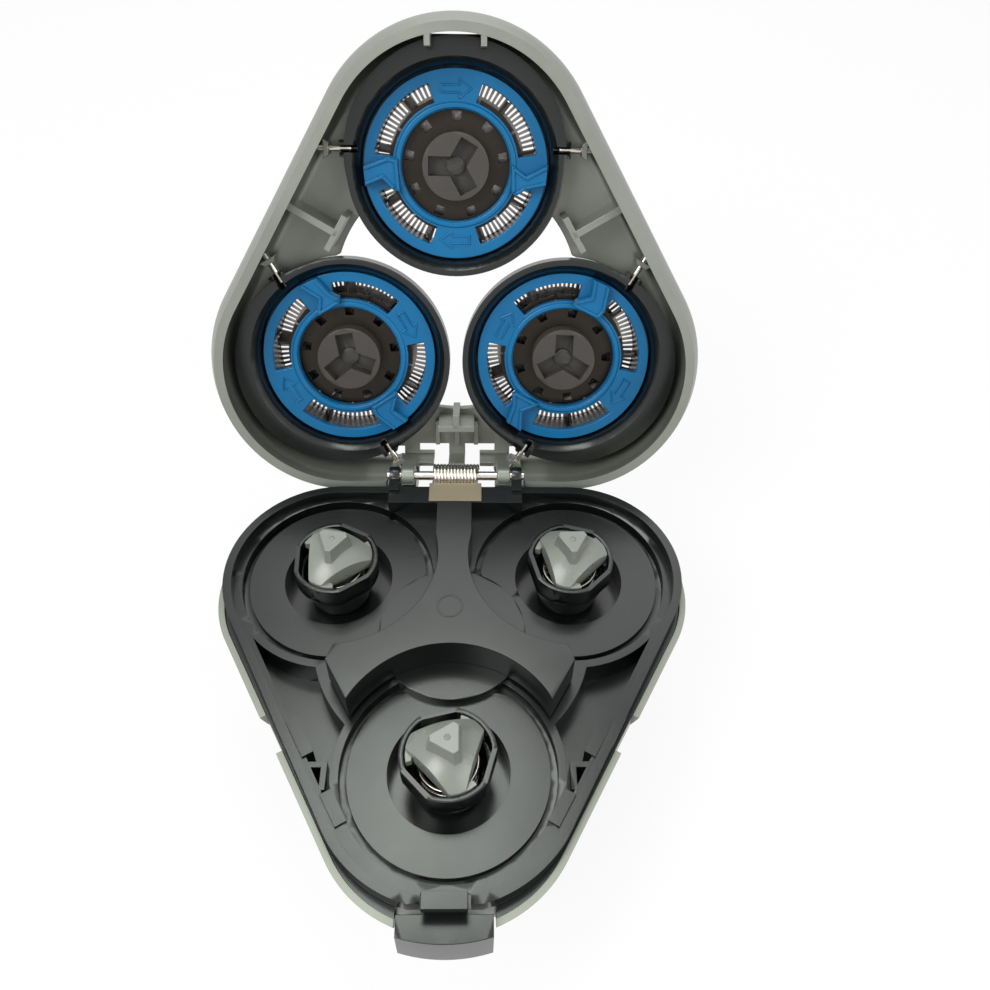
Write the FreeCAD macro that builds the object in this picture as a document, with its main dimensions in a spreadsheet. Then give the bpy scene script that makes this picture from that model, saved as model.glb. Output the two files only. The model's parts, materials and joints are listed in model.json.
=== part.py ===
import FreeCAD, Part
import math
import os
import Sketcher

# Rotary shaver head, open: a lid with three pivoting heads, hinged on a driven base.
# Millimetres, +Z up. The origin is the centre of the neck's end face, the hinge is towards +Y,
# and the release button is towards -Y. Lid pieces are drawn as they lie when it is shut.

# Driving sizes: name, value, meaning
SIZES = (
    ("head_spacing", 28.0, "between the centres of two heads"),
    ("floor_height", 20.0, "disc floor of the tray over the neck's end"),
    ("open_angle", 116.7, "degrees that the lid stands open"),
    ("hinge_back", 22.25, "hinge line behind the drive axis"),
    ("hinge_rise", 2.7, "hinge line over the disc floor"),
    ("run_gap", 0.05, "radial clearance of a pin or shaft that turns"),
    ("slide_gap", 0.25, "clearance beside a part that slides"),
    ("neck_radius", 10.5, "neck that plugs into the handle"),
    ("neck_length", 6.0, "length of the neck"),
    ("neck_wall", 1.4, "wall of the neck"),
    ("tray_corner", 14.1, "front corner radius of the tray's rim"),
    ("rear_corner", 13.1, "radius of the tray's two rear lobes"),
    ("rear_lobe_x", 14.4, "centre of a rear lobe beside the middle"),
    ("rear_lobe_y", 7.8, "centre of a rear lobe behind the drive axis"),
    ("flange_width", 0.9, "flange of the tray over the shell's wall"),
    ("flange_low", 0.3, "underside of that flange over the disc floor"),
    ("tray_wall", 1.0, "thickness of the tray's rim"),
    ("tray_depth", 4.4, "tray's underside below the disc floor"),
    ("rim_rise", 2.1, "tray's rim over the disc floor"),
    ("block_back", 20.4, "back face of the hinge block"),
    ("shell_inset", 0.05, "shell's wall inside the flange's edge"),
    ("skirt_reach", 18.47, "front corner's centre of the skirt before the drive axis"),
    ("skirt_corner", 13.8, "front corner radius of the skirt"),
    ("skirt_step", 1.4, "skirt outside a rear lobe"),
    ("skirt_back", 1.0, "rear end of the skirt before the drive axis"),
    ("notch_depth", 0.75, "finger notch in the skirt"),
    ("skirt_rise", 0.5, "top of the skirt over the disc floor"),
    ("ledge", 3.2, "width of the ledge that carries the tray"),
    ("band_rise", 0.5, "band round the discs over the disc floor"),
    ("disc_radius", 10.7, "disc round each coupling"),
    ("groove_width", 0.8, "groove round each disc"),
    ("groove_depth", 1.0, "depth of that groove"),
    ("pit_radius", 6.5, "pit round each coupling"),
    ("pit_depth", 3.2, "depth of that pit"),
    ("boss_radius", 8.5, "low round boss in the middle of the tray"),
    ("boss_rise", 1.0, "height of that boss"),
    ("pocket_depth", 3.0, "side pockets of the tray"),
    ("pocket_rim", 12.4, "ring wall between a disc and a side pocket"),
    ("cover_rise", 5.3, "top of the gear cover over the disc floor"),
    ("cover_reach", 14.7, "end of each arm of the gear cover"),
    ("cover_side", 12.2, "radius of the cover's hollow sides"),
    ("cover_arm", 4.3, "width of the cover's rear arm"),
    ("cover_back", 16.0, "rear end of that arm"),
    ("block_width", 17.1, "hinge block"),
    ("block_front", 17.8, "front face of the hinge block"),
    ("ear_width", 1.3, "hinge ear on the base"),
    ("ear_radius", 1.2, "eye of a hinge ear or knuckle"),
    ("knuckle_width", 1.7, "hinge knuckle on the lid"),
    ("knuckle_gap", 0.2, "between an ear and a knuckle"),
    ("pin_radius", 0.6, "hinge pin"),
    ("coil_radius", 1.12, "middle of the hinge spring's wire"),
    ("coil_wire", 0.42, "wire of the hinge spring"),
    ("coil_turns", 12.0, "turns of the hinge spring"),
    ("coil_length", 6.2, "length of the hinge spring's coil"),
    ("clip_width", 6.7, "sheet clip on the hinge block"),
    ("clip_sheet", 0.35, "sheet of that clip"),
    ("gear_teeth", 27.0, "teeth of the drive gear"),
    ("pinion_teeth", 18.0, "teeth of a spindle gear"),
    ("gear_width", 2.4, "face width of the gears"),
    ("gear_gap", 0.3, "axial clearance of the gears"),
    ("backlash", 0.12, "play between the gear teeth"),
    ("plate_thick", 1.2, "bearing plate under the gears"),
    ("screw_reach", 15.2, "from the drive axis to a screw"),
    ("screw_radius", 0.7, "shank of the plate's screws"),
    ("screw_grip", 2.0, "how deep they go into the shell"),
    ("spindle_radius", 1.8, "shaft of a drive cup"),
    ("drive_hub", 3.6, "hub of the drive gear"),
    ("socket_radius", 2.0, "socket for the handle's drive shaft"),
    ("socket_flat", 1.8, "flat of that socket from its axis"),
    ("socket_depth", 5.0, "depth of that socket"),
    ("cup_radius", 5.05, "drive cup"),
    ("cup_flat", 4.7, "the cup's three flats from its axis"),
    ("cup_wall", 0.5, "wall of the cup"),
    ("cup_rise", 4.43, "cup's rim over the disc floor"),
    ("cup_foot", 3.5, "foot of the cup"),
    ("tip_side", 2.9, "flat sides of the tip's plate from its axis"),
    ("tip_gap", 0.16, "clearance of the tip in its cup"),
    ("tip_plate", 1.2, "skirt of the tip"),
    ("tip_rise", 4.65, "top of that plate over the disc floor"),
    ("mound_rise", 1.55, "mound between that plate and the nose"),
    ("nose_base", 2.2, "corner radius of the nose at the mound"),
    ("nose_top", 1.75, "corner radius of the nose at its end"),
    ("nose_height", 4.5, "end of the nose over the plate"),
    ("nose_turn", 17.0, "degrees between the nose and the plate"),
    ("tip_stem", 2.4, "stem of the tip"),
    ("spring_radius", 2.7, "middle of a tip spring's wire"),
    ("spring_wire", 0.34, "wire of a tip spring"),
    ("spring_turns", 4.0, "turns of a tip spring"),
    ("button_width", 9.2, "release button"),
    ("button_front", 17.0, "front face of the button from the centre of head 1"),
    ("button_thick", 2.6, "release button, front to back"),
    ("button_rise", 1.7, "top of the button over the disc floor"),
    ("button_notch", 0.47, "notch in the tray's rim behind the button"),
    ("button_travel", 0.6, "how far the button can be pushed in"),
    ("hook_width", 4.4, "latch hook on the button"),
    ("hook_nose", 0.65, "how far the hook's nose stands out"),
    ("hook_back", 13.1, "back face of the hook from the centre of head 1"),
    ("hook_rise", 1.5, "top of the hook over the hinge line"),
    ("nose_thick", 0.9, "height of its nose"),
    ("latch_gap", 0.12, "between that nose and the lid's wall"),
    ("lid_rim", 16.0, "corner radius of the lid's rim"),
    ("lid_bulge", 17.2, "corner radius where the lid is widest"),
    ("lid_top", 14.8, "corner radius of the lid's top edge"),
    ("lid_wall", 1.2, "wall of the lid"),
    ("lid_height", 9.3, "lid's top face over the hinge line"),
    ("lid_gap", 0.3, "between the shut lid and the tray's rim"),
    ("lid_land", 1.2, "thickness of the lid's top"),
    ("latch_width", 6.8, "slot in the lid's front wall for the latch"),
    ("latch_wall", 0.32, "lid's wall left outside that slot"),
    ("latch_low", 0.4, "lower end of the slot over the hinge line"),
    ("opening_gap", 0.6, "between a pivot ring and the lid's opening"),
    ("rib_width", 0.9, "ribs on the wedges between the openings"),
    ("middle_opening", 15.7, "where the wedges between the openings end"),
    ("pivot_offset", 2.0, "tilt line outside a head's centre"),
    ("pivot_depth", 6.0, "tilt line over the hinge line, lid shut"),
    ("pivot_pin", 0.4, "radius of a pivot pin"),
    ("ring_wall", 0.91, "wall of the pivot ring outside its cavity"),
    ("ring_lip", 0.8, "flange of the pivot ring outside that wall"),
    ("ring_shift", 1.3, "how far the flange is drawn outwards"),
    ("ring_shoulder", 6.6, "top of the flange over the hinge line"),
    ("ring_low", 4.6, "lower edge of the pivot ring over the hinge line"),
    ("ring_top", 9.9, "upper edge of the pivot ring over the hinge line"),
    ("retainer_radius", 11.24, "blue retaining ring"),
    ("retainer_gap", 0.25, "between the retaining ring and its cavity"),
    ("retainer_hole", 6.63, "opening of the retaining ring"),
    ("retainer_low", 6.16, "its lower face over the hinge line"),
    ("retainer_thick", 1.14, "thickness of the retaining ring"),
    ("window_edge", 0.73, "rim inside its windows"),
    ("window_rim", 1.49, "rim outside its windows"),
    ("grip_rise", 1.2, "height of its grips"),
    ("guard_lip", 0.75, "flange of a guard outside its side wall"),
    ("guard_top", 11.4, "outer face of a guard over the hinge line"),
    ("guard_sheet", 0.3, "sheet of a guard"),
    ("flange_gap", 0.14, "guard's flange inside the retaining ring's edge"),
    ("dish_drop", 0.5, "depth of the guard's middle"),
    ("track_in", 7.3, "inner end of the guard's slots"),
    ("slot_count", 48.0, "slots of a guard"),
    ("slot_width", 0.36, "width of a slot"),
    ("hub_radius", 4.05, "cutter hub"),
    ("hub_low", 5.43, "face of the cutter hub over the hinge line"),
    ("hub_pin", 0.8, "running pin of the cutter hub"),
    ("socket_arm", 2.3, "width of an arm of the hub's socket"),
    ("socket_reach", 3.35, "length of that arm from the axis"),
    ("socket_deep", 1.9, "depth of the hub's socket"),
    ("blade_sheet", 0.3, "sheet of the blade ring"),
    ("blade_flange", 8.2, "flange of the blade ring"),
    ("blade_inset", 0.55, "blades and slots inside the guard's side wall"),
    ("blade_lift", 0.4, "blade ring over the guard's seat"),
    ("blade_count", 9.0, "blades of a cutter"),
    ("blade_gap", 0.08, "between the blades and the guard"),
)

# Places of the three heads and couplings round the drive axis, in degrees, with the turn of
# the coupling there. Head 1 is next to the latch when the lid is shut.
HEADS = ((1, 270.0, 61.0), (2, 30.0, 31.5), (3, 150.0, 20.5))

SIN60 = math.sin(math.radians(60.0))


class Size:
    """A length that keeps the spreadsheet expression that it comes from."""

    def __init__(self, value, text):
        self.value = float(value)
        self.text = text

    def joined(self, sign, value, other):
        return Size(value, "(%s %s %s)" % (self.text, sign, words(other)))

    def __add__(self, other):
        return self.joined("+", self.value + number(other), other)

    def __sub__(self, other):
        return self.joined("-", self.value - number(other), other)

    def __rsub__(self, other):
        return Size(number(other) - self.value, "(%s - %s)" % (words(other), self.text))

    def __mul__(self, other):
        return self.joined("*", self.value * number(other), other)

    def __truediv__(self, other):
        return self.joined("/", self.value / number(other), other)

    def __neg__(self):
        return Size(-self.value, "(0 - %s)" % self.text)


def number(size):
    """The value of a length, in millimetres."""
    return size.value if isinstance(size, Size) else float(size)


def words(size):
    """The spreadsheet expression of a length."""
    return size.text if isinstance(size, Size) else "(%.6f)" % size


doc = FreeCAD.newDocument("shaver_head")
sheet = doc.addObject("Spreadsheet::Sheet", "sizes")
for row, (alias, amount, meaning) in enumerate(SIZES, 1):
    sheet.set("A%d" % row, meaning)
    sheet.set("B%d" % row, str(amount))
    sheet.setAlias("B%d" % row, alias)
doc.recompute()


def size(alias):
    """A driving size from the spreadsheet."""
    return Size(sheet.get(alias), "sizes." + alias)


# Levels and places that several pieces share
REACH = size("head_spacing") / (2.0 * SIN60)
FLOOR = size("floor_height")
HINGE_Y = size("hinge_back")
HINGE_Z = FLOOR + size("hinge_rise")
TRAY_UNDER = FLOOR - size("tray_depth")
GEAR_TOP = TRAY_UNDER - size("gear_gap")
GEAR_LOW = GEAR_TOP - size("gear_width")
PLATE_TOP = GEAR_LOW - size("gear_gap")
PLATE_LOW = PLATE_TOP - size("plate_thick")
BAND = FLOOR + size("band_rise")
TRAY_RIM = FLOOR + size("rim_rise")
PIVOT_Z = HINGE_Z + size("pivot_depth")
GUARD_SEAT = HINGE_Z + size("retainer_low") + size("retainer_thick")
BLADE_SEAT = GUARD_SEAT + size("blade_lift")

# Radii of a head, from the guard outwards
GUARD_FLANGE = size("retainer_radius") - size("flange_gap")
GUARD_WALL = GUARD_FLANGE - size("guard_lip")
CAVITY = size("retainer_radius") + size("retainer_gap")
RING_NECK = CAVITY + size("ring_wall")
RING_OUT = RING_NECK + size("ring_lip")
OPENING = RING_NECK + size("opening_gap")

# Reach of boxes that only cut, and steps in a turn of a coil
FAR = 45.0
COIL_STEPS = 12


def rotation(degrees, axis=(0, 0, 1)):
    return FreeCAD.Rotation(FreeCAD.Vector(*axis), number(degrees))


def open_lid():
    """Placement that swings a piece from the shut lid to the open one."""
    hinge = FreeCAD.Vector(0, number(HINGE_Y), number(HINGE_Z))
    return FreeCAD.Placement(FreeCAD.Vector(), rotation(-size("open_angle"), (1, 0, 0)), hinge)


def head_place(angle, turn=0.0):
    """Placement of a head drawn on the axis with its outer side towards -Y."""
    out = math.radians(angle)
    reach = number(REACH)
    centre = FreeCAD.Vector(reach * math.cos(out), reach * math.sin(out), 0)
    return FreeCAD.Placement(centre, rotation(angle - 270.0 + turn))


def bind(thing, prop, amount):
    """Ties a property to the spreadsheet."""
    if isinstance(amount, Size):
        thing.setExpression(prop, amount.text)
    else:
        setattr(thing, prop, amount)


def move_to(thing, x, y, z):
    """Places a primitive by lengths from the spreadsheet."""
    for axis, amount in (("x", x), ("y", y), ("z", z)):
        thing.setExpression("Placement.Base." + axis, words(amount))
    return thing


def cylinder(radius, low, high, x=0.0, y=0.0):
    """Upright cylinder between two levels."""
    thing = doc.addObject("Part::Cylinder", "cylinder")
    bind(thing, "Radius", radius)
    bind(thing, "Height", size_of(high) - low)
    return move_to(thing, x, y, low)


def size_of(amount):
    """Any amount as a Size, so that it can be added to others."""
    return amount if isinstance(amount, Size) else Size(amount, words(amount))


def cone(low_radius, high_radius, low, high, x=0.0, y=0.0):
    thing = doc.addObject("Part::Cone", "cone")
    bind(thing, "Radius1", low_radius)
    bind(thing, "Radius2", high_radius)
    bind(thing, "Height", size_of(high) - low)
    return move_to(thing, x, y, low)


def bar(radius, start, end, y, z):
    """Cylinder along X between two places."""
    thing = doc.addObject("Part::Cylinder", "bar")
    bind(thing, "Radius", radius)
    bind(thing, "Height", size_of(end) - start)
    thing.Placement = FreeCAD.Placement(FreeCAD.Vector(), rotation(90, (0, 1, 0)))
    return move_to(thing, start, y, z)


def box(x, y, z):
    """Box between two corners, each given as a pair of lengths along X, Y and Z."""
    thing = doc.addObject("Part::Box", "box")
    bind(thing, "Length", size_of(x[1]) - x[0])
    bind(thing, "Width", size_of(y[1]) - y[0])
    bind(thing, "Height", size_of(z[1]) - z[0])
    return move_to(thing, x[0], y[0], z[0])


def three_flats(flat, low, high, turn=0.0):
    """Triangular prism whose sides lie a given length from the axis, one towards -Y at turn 0."""
    thing = doc.addObject("Part::Prism", "three_flats")
    thing.Polygon = 3
    bind(thing, "Circumradius", size_of(flat) * 2.0)
    bind(thing, "Height", size_of(high) - low)
    thing.Placement = FreeCAD.Placement(FreeCAD.Vector(), rotation(90.0 + turn))
    return move_to(thing, 0.0, 0.0, low)


def fused(*things):
    thing = doc.addObject("Part::MultiFuse", "fused")
    thing.Shapes = list(things)
    thing.Refine = True
    return thing


def cut(base, *tools):
    thing = doc.addObject("Part::Cut", "cut")
    thing.Base = base
    thing.Tool = tools[0] if len(tools) == 1 else fused(*tools)
    return thing


def common(*things):
    thing = doc.addObject("Part::MultiCommon", "common")
    thing.Shapes = list(things)
    return thing


def ring(outer, inner, low, high, x=0.0, y=0.0):
    """Tube between two levels."""
    return cut(cylinder(outer, low, high, x, y), cylinder(inner, low, high, x, y))


def turned_copy(thing, degrees):
    """The same shape turned round the Z axis."""
    copy = doc.addObject("Part::Compound", "turned")
    copy.Links = [thing]
    copy.Placement = FreeCAD.Placement(FreeCAD.Vector(), rotation(degrees))
    return copy


def outline_at(level):
    """Empty sketch parallel to the floor at a level."""
    sketch = doc.addObject("Sketcher::SketchObject", "outline")
    sketch.setExpression("Placement.Base.z", words(level))
    return sketch


def hold(sketch, kind, item, point, amount):
    """Holds a point of a sketch at a distance from the sketch's origin."""
    if abs(number(amount)) < 1e-9 and not isinstance(amount, Size):
        line = -2 if kind == "DistanceX" else -1
        sketch.addConstraint(Sketcher.Constraint("PointOnObject", item, point, line))
        return
    where = sketch.addConstraint(Sketcher.Constraint(kind, -1, 1, item, point, number(amount)))
    if isinstance(amount, Size):
        sketch.setExpression("Constraints[%d]" % where, amount.text)


def polygon(sketch, corners):
    """Closed outline through corners, each held by its two distances from the origin."""
    first = sketch.GeometryCount
    count = len(corners)
    points = [FreeCAD.Vector(number(x), number(y), 0) for x, y in corners]
    for i in range(count):
        sketch.addGeometry(Part.LineSegment(points[i], points[(i + 1) % count]), False)
    for i in range(count):
        after = first + (i + 1) % count
        sketch.addConstraint(Sketcher.Constraint("Coincident", first + i, 2, after, 1))
    for i, (x, y) in enumerate(corners):
        hold(sketch, "DistanceX", first + i, 1, x)
        hold(sketch, "DistanceY", first + i, 1, y)
    return sketch


def rounded_triangle(sketch, corners):
    """Outline round three circles, each given as x, y and radius, in anticlockwise order."""
    normals = []
    for i in range(3):
        x1, y1, r1 = [number(v) for v in corners[i]]
        x2, y2, r2 = [number(v) for v in corners[(i + 1) % 3]]
        apart = math.hypot(x2 - x1, y2 - y1)
        heading = math.atan2(y2 - y1, x2 - x1)
        normals.append(heading - math.pi / 2.0 + math.asin((r1 - r2) / apart))
    for i, (x, y, radius) in enumerate(corners):
        centre = FreeCAD.Vector(number(x), number(y), 0)
        circle = Part.Circle(centre, FreeCAD.Vector(0, 0, 1), number(radius))
        start, end = normals[i - 1], normals[i]
        while end < start:
            end += 2.0 * math.pi
        sketch.addGeometry(Part.ArcOfCircle(circle, start, end), False)
    for i in range(3):
        arc, following = sketch.Geometry[i], sketch.Geometry[(i + 1) % 3]
        sketch.addGeometry(Part.LineSegment(arc.EndPoint, following.StartPoint), False)
    for i in range(3):
        sketch.addConstraint(Sketcher.Constraint("Tangent", i, 2, 3 + i, 1))
        sketch.addConstraint(Sketcher.Constraint("Tangent", 3 + i, 2, (i + 1) % 3, 1))
    for i, (x, y, radius) in enumerate(corners):
        where = sketch.addConstraint(Sketcher.Constraint("Radius", i, number(radius)))
        sketch.setExpression("Constraints[%d]" % where, words(radius))
        hold(sketch, "DistanceX", i, 3, x)
        hold(sketch, "DistanceY", i, 3, y)
    return sketch


def even_corners(reach, radius):
    """Three equal corners that stand at a reach from the origin."""
    corners = []
    for angle in (270.0, 30.0, 150.0):
        out = math.radians(angle)
        across = 0.0 if abs(math.cos(out)) < 1e-9 else size_of(reach) * math.cos(out)
        corners.append((across, size_of(reach) * math.sin(out), radius))
    return corners


def base_corners(grow):
    """Corners of the tray's rim, grown or shrunk all round: the rear lobes are a little smaller."""
    x, y = size("rear_lobe_x"), size("rear_lobe_y")
    rear = size("rear_corner") + grow
    return [(0.0, -REACH, size("tray_corner") + grow), (x, y, rear), (-x, y, rear)]


def skirt_corners(grow):
    """Corners of the shell's skirt round the front of the tray."""
    x, y = size("rear_lobe_x"), size("rear_lobe_y")
    rear = size("rear_corner") + size("skirt_step") + grow
    return [(0.0, -size("skirt_reach"), size("skirt_corner") + grow), (x, y, rear), (-x, y, rear)]


def prism(corners, low, high):
    """Upright block with a rounded triangle for its plan."""
    thing = doc.addObject("Part::Extrusion", "prism")
    thing.Base = rounded_triangle(outline_at(low), corners)
    thing.DirMode = "Normal"
    thing.Solid = True
    bind(thing, "LengthFwd", size_of(high) - low)
    return thing


def shell_form(*sections):
    """Body through rounded triangles, each given as a level and its corners."""
    thing = doc.addObject("Part::Loft", "shell_form")
    thing.Sections = [rounded_triangle(outline_at(level), corners) for level, corners in sections]
    thing.Solid = True
    thing.Ruled = True
    return thing


def extruded(corners, low, high):
    """Upright block over a polygon."""
    thing = doc.addObject("Part::Extrusion", "extruded")
    thing.Base = polygon(outline_at(low), corners)
    thing.DirMode = "Normal"
    thing.Solid = True
    bind(thing, "LengthFwd", size_of(high) - low)
    return thing


def turned(name, corners):
    """Body turned round the Z axis from corners given as radius and level."""
    body = doc.addObject("PartDesign::Body", name)
    sketch = body.newObject("Sketcher::SketchObject", name + "_profile")
    plane = [f for f in body.Origin.OriginFeatures if f.Role == "XZ_Plane"][0]
    sketch.AttachmentSupport = [(plane, "")]
    sketch.MapMode = "FlatFace"
    polygon(sketch, corners)
    turn = body.newObject("PartDesign::Revolution", name + "_turned")
    turn.Profile = sketch
    turn.ReferenceAxis = (sketch, ["V_Axis"])
    turn.Angle = 360.0
    return body


PIECES = []


def piece(name, thing, placement=None):
    """Names a finished piece and sets it in its place."""
    thing.Label = name
    if placement is not None:
        thing.Placement = placement.multiply(thing.Placement)
    PIECES.append((name, thing))
    return thing


def repeated(name, shape, placement):
    """Another of the same piece, set in its own place."""
    thing = doc.addObject("Part::Feature", name)
    thing.Shape = shape
    thing.Placement = placement.multiply(shape.Placement)
    thing.Label = name
    PIECES.append((name, thing))
    return thing


def local_shape(thing):
    """The shape of a piece before it is set in its place."""
    doc.recompute()
    shape = thing.Shape.copy()
    shape.Placement = FreeCAD.Placement()
    return shape


def base_shell():
    """Pewter lower housing under the tray's flange, with a wider skirt round its front."""
    neck = size("neck_radius")
    root = size("neck_length")
    wall = -size("shell_inset")
    under = FLOOR + size("flange_low")
    top = FLOOR + size("skirt_rise")
    body = shell_form(
        (root, even_corners(REACH * 0.05, neck - REACH * 0.05)),
        (root + 1.5, even_corners(REACH * 0.45, neck - REACH * 0.05)),
        (PLATE_LOW, base_corners(wall - 2.9)),
        (TRAY_UNDER, base_corners(wall - 0.4)),
        (under, base_corners(wall)),
    )
    wide = shell_form(
        (TRAY_UNDER, base_corners(wall - 0.45)),
        (FLOOR - 1.5, skirt_corners(-0.6)),
        (top, skirt_corners(0.0)),
    )
    skirt = common(wide, box((-FAR, FAR), (-FAR, -size("skirt_back")), (PLATE_LOW, top + 1.0)))
    stem = cylinder(neck, 0.0, root + 1.0)
    tools = [
        prism(base_corners(-size("flange_width")), TRAY_UNDER, top + 1.0),
        prism(base_corners(0.0), under, top + 1.0),
        prism(base_corners(-size("flange_width") - size("ledge")), PLATE_LOW, TRAY_UNDER + 1.0),
        cylinder(neck - size("neck_wall"), -1.0, PLATE_LOW + 1.0),
        button_slot(),
    ]
    body = cut(fused(body, skirt, stem), *tools, *skirt_notches(), *screw_holes())
    piece("base_shell", body)


def skirt_notches():
    """Finger notch in each side of the skirt."""
    outer = size("skirt_reach") * 0.5 + size("skirt_corner")
    levels = (FLOOR - 2.5, FLOOR + size("skirt_rise") + 1.0)
    span = (outer + 1.0, outer - size("notch_depth"))
    right = box((-3.35, 1.27), (-span[0], -span[1]), levels)
    left = box((-1.27, 3.35), (-span[0], -span[1]), levels)
    return [turned_copy(right, 60.0), turned_copy(left, -60.0)]


def button_slot():
    """Opening in the shell's front for the release button."""
    half = size("button_width") / 2.0 + size("slide_gap")
    inner = -(REACH + size("tray_corner") - size("tray_wall"))
    return box((-half, half), (-FAR, inner), (TRAY_UNDER + 0.6, FLOOR + 5.0))


def coupling_places():
    """Centres of the three couplings."""
    places = []
    for index, angle, turn in HEADS:
        out = math.radians(angle)
        across = 0.0 if abs(math.cos(out)) < 1e-9 else REACH * math.cos(out)
        places.append((across, REACH * math.sin(out)))
    return places


def base_tray():
    """Black tray with a flange: discs with grooves, pits, side pockets and the hinge block."""
    under = FLOOR + size("flange_low")
    flange = prism(base_corners(0.0), under, TRAY_RIM)
    body = prism(base_corners(-size("flange_width")), TRAY_UNDER, under + 0.1)
    groove_out = size("disc_radius") + size("groove_width")
    tools = [prism(base_corners(-size("tray_wall")), BAND, TRAY_RIM + 1.0)]
    for x, y in coupling_places():
        tools.append(cylinder(size("disc_radius") + 0.01, FLOOR, BAND + 1.0, x, y))
        tools.append(ring(groove_out, size("disc_radius"), FLOOR - size("groove_depth"), BAND + 1.0, x, y))
        tools.append(cylinder(size("pit_radius"), FLOOR - size("pit_depth"), BAND + 1.0, x, y))
        tools.append(cylinder(size("spindle_radius") + size("run_gap"), TRAY_UNDER - 1.0, FLOOR, x, y))
    tools.append(side_pockets())
    tools.extend(button_room())
    tools.append(spring_pocket())
    clip = size("clip_width") / 2.0 + size("slide_gap")
    back = size("block_back")
    tools.append(box((-clip, clip), (back, back + 2.0), (under - 0.1, TRAY_RIM + 1.0)))
    parts = [cut(fused(flange, body), *tools)]
    pits = [cylinder(size("pit_radius"), FLOOR - 1.0, FLOOR + 3.0, x, y) for x, y in coupling_places()]
    boss = cut(cylinder(size("boss_radius"), FLOOR - size("groove_depth"), FLOOR + size("boss_rise")), *pits)
    parts.append(boss)
    parts.extend(hinge_block())
    parts.extend(side_clips())
    parts.extend(wall_bars())
    pin = bar(size("pin_radius"), -12.0, 12.0, HINGE_Y, HINGE_Z)
    piece("base_tray", cut(fused(*parts), pin))


def button_room():
    """Notch in the tray's front for the pushed button, and the gap for its hook."""
    half = size("button_width") / 2.0 + size("slide_gap")
    inner = -(REACH + size("tray_corner") - size("button_notch"))
    notch = box((-half, half), (-FAR, inner), (TRAY_UNDER - 1.0, TRAY_RIM + 1.0))
    side = size("hook_width") / 2.0 + size("slide_gap")
    back = -(REACH + size("hook_back") - size("button_travel") - size("slide_gap"))
    gap = box((-side, side), (-FAR, back), (BAND - 0.1, TRAY_RIM + 1.0))
    return [notch, gap]


def spring_pocket():
    """Blind hole in the tray's front wall for the button's spring."""
    hole = doc.addObject("Part::Cylinder", "spring_pocket")
    hole.Radius = 1.3
    hole.Height = 4.0
    hole.Placement = FreeCAD.Placement(FreeCAD.Vector(), rotation(90, (1, 0, 0)))
    return move_to(hole, 0.0, -(REACH + size("tray_corner") - 2.0), FLOOR - 2.2)


def side_pockets():
    """Deeper floors beside the front disc, under the edges of the rear ones."""
    level = FLOOR - size("pocket_depth")
    form = prism(base_corners(-size("tray_wall") - 0.6), level, BAND + 1.0)
    zone = box((-FAR, FAR), (-20.0, 2.0), (level - 1.0, BAND + 2.0))
    walls = [cylinder(size("pocket_rim"), level - 2.0, BAND + 3.0, x, y) for x, y in coupling_places()]
    walls.append(cylinder(size("cover_reach") + 1.2, level - 2.0, BAND + 3.0))
    return cut(common(form, zone), *walls)


def wall_bars():
    """Low bars along the tray's side walls, before and behind each clip."""
    outer = REACH * 0.5 + size("tray_corner") - size("tray_wall") - 0.35
    levels = (FLOOR - size("pocket_depth") - 0.5, BAND + 0.3)
    bars = []
    for start, end in ((-5.2, -0.6), (-13.6, -9.8)):
        right = box((start, end), (-outer, 1.3 - outer), levels)
        left = box((-end, -start), (-outer, 1.3 - outer), levels)
        bars.append(turned_copy(right, 60.0))
        bars.append(turned_copy(left, -60.0))
    return bars


def side_clips():
    """L-shaped clips that stand in the side pockets."""
    low, high = FLOOR - size("pocket_depth") - 0.5, BAND
    clips = []
    for side in (-1.0, 1.0):
        inner, outer = sorted((side * 12.75, side * 15.1))
        clips.append(box((inner, outer), (-15.9, -15.3), (low, high)))
        inner, outer = sorted((side * 12.75, side * 13.35))
        clips.append(box((inner, outer), (-18.3, -15.3), (low, high)))
    return clips


def hinge_block():
    """Block at the back of the tray with the two ears that hold the hinge pin."""
    half = size("block_width") / 2.0
    back = size("block_back")
    parts = [
        box((-half, half), (size("block_front"), back - 0.8), (FLOOR - 1.0, BAND)),
        box((-half, half), (size("block_front"), back), (FLOOR + size("flange_low"), HINGE_Z)),
    ]
    for start, end in ear_spans():
        arm = size("ear_radius") * 0.5
        parts.append(box((start, end), (back - 1.0, HINGE_Y), (HINGE_Z - arm, HINGE_Z + arm)))
        parts.append(bar(size("ear_radius"), start, end, HINGE_Y, HINGE_Z))
    return parts


def ear_spans():
    """Where the base's hinge ears start and end along the hinge."""
    half = size("block_width") / 2.0
    return ((-half, -half + size("ear_width")), (half - size("ear_width"), half))


def knuckle_spans():
    """Where the lid's hinge knuckles start and end along the hinge."""
    outer = size("block_width") / 2.0 - size("ear_width") - size("knuckle_gap")
    inner = outer - size("knuckle_width")
    return ((-outer, -inner), (inner, outer))


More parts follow.
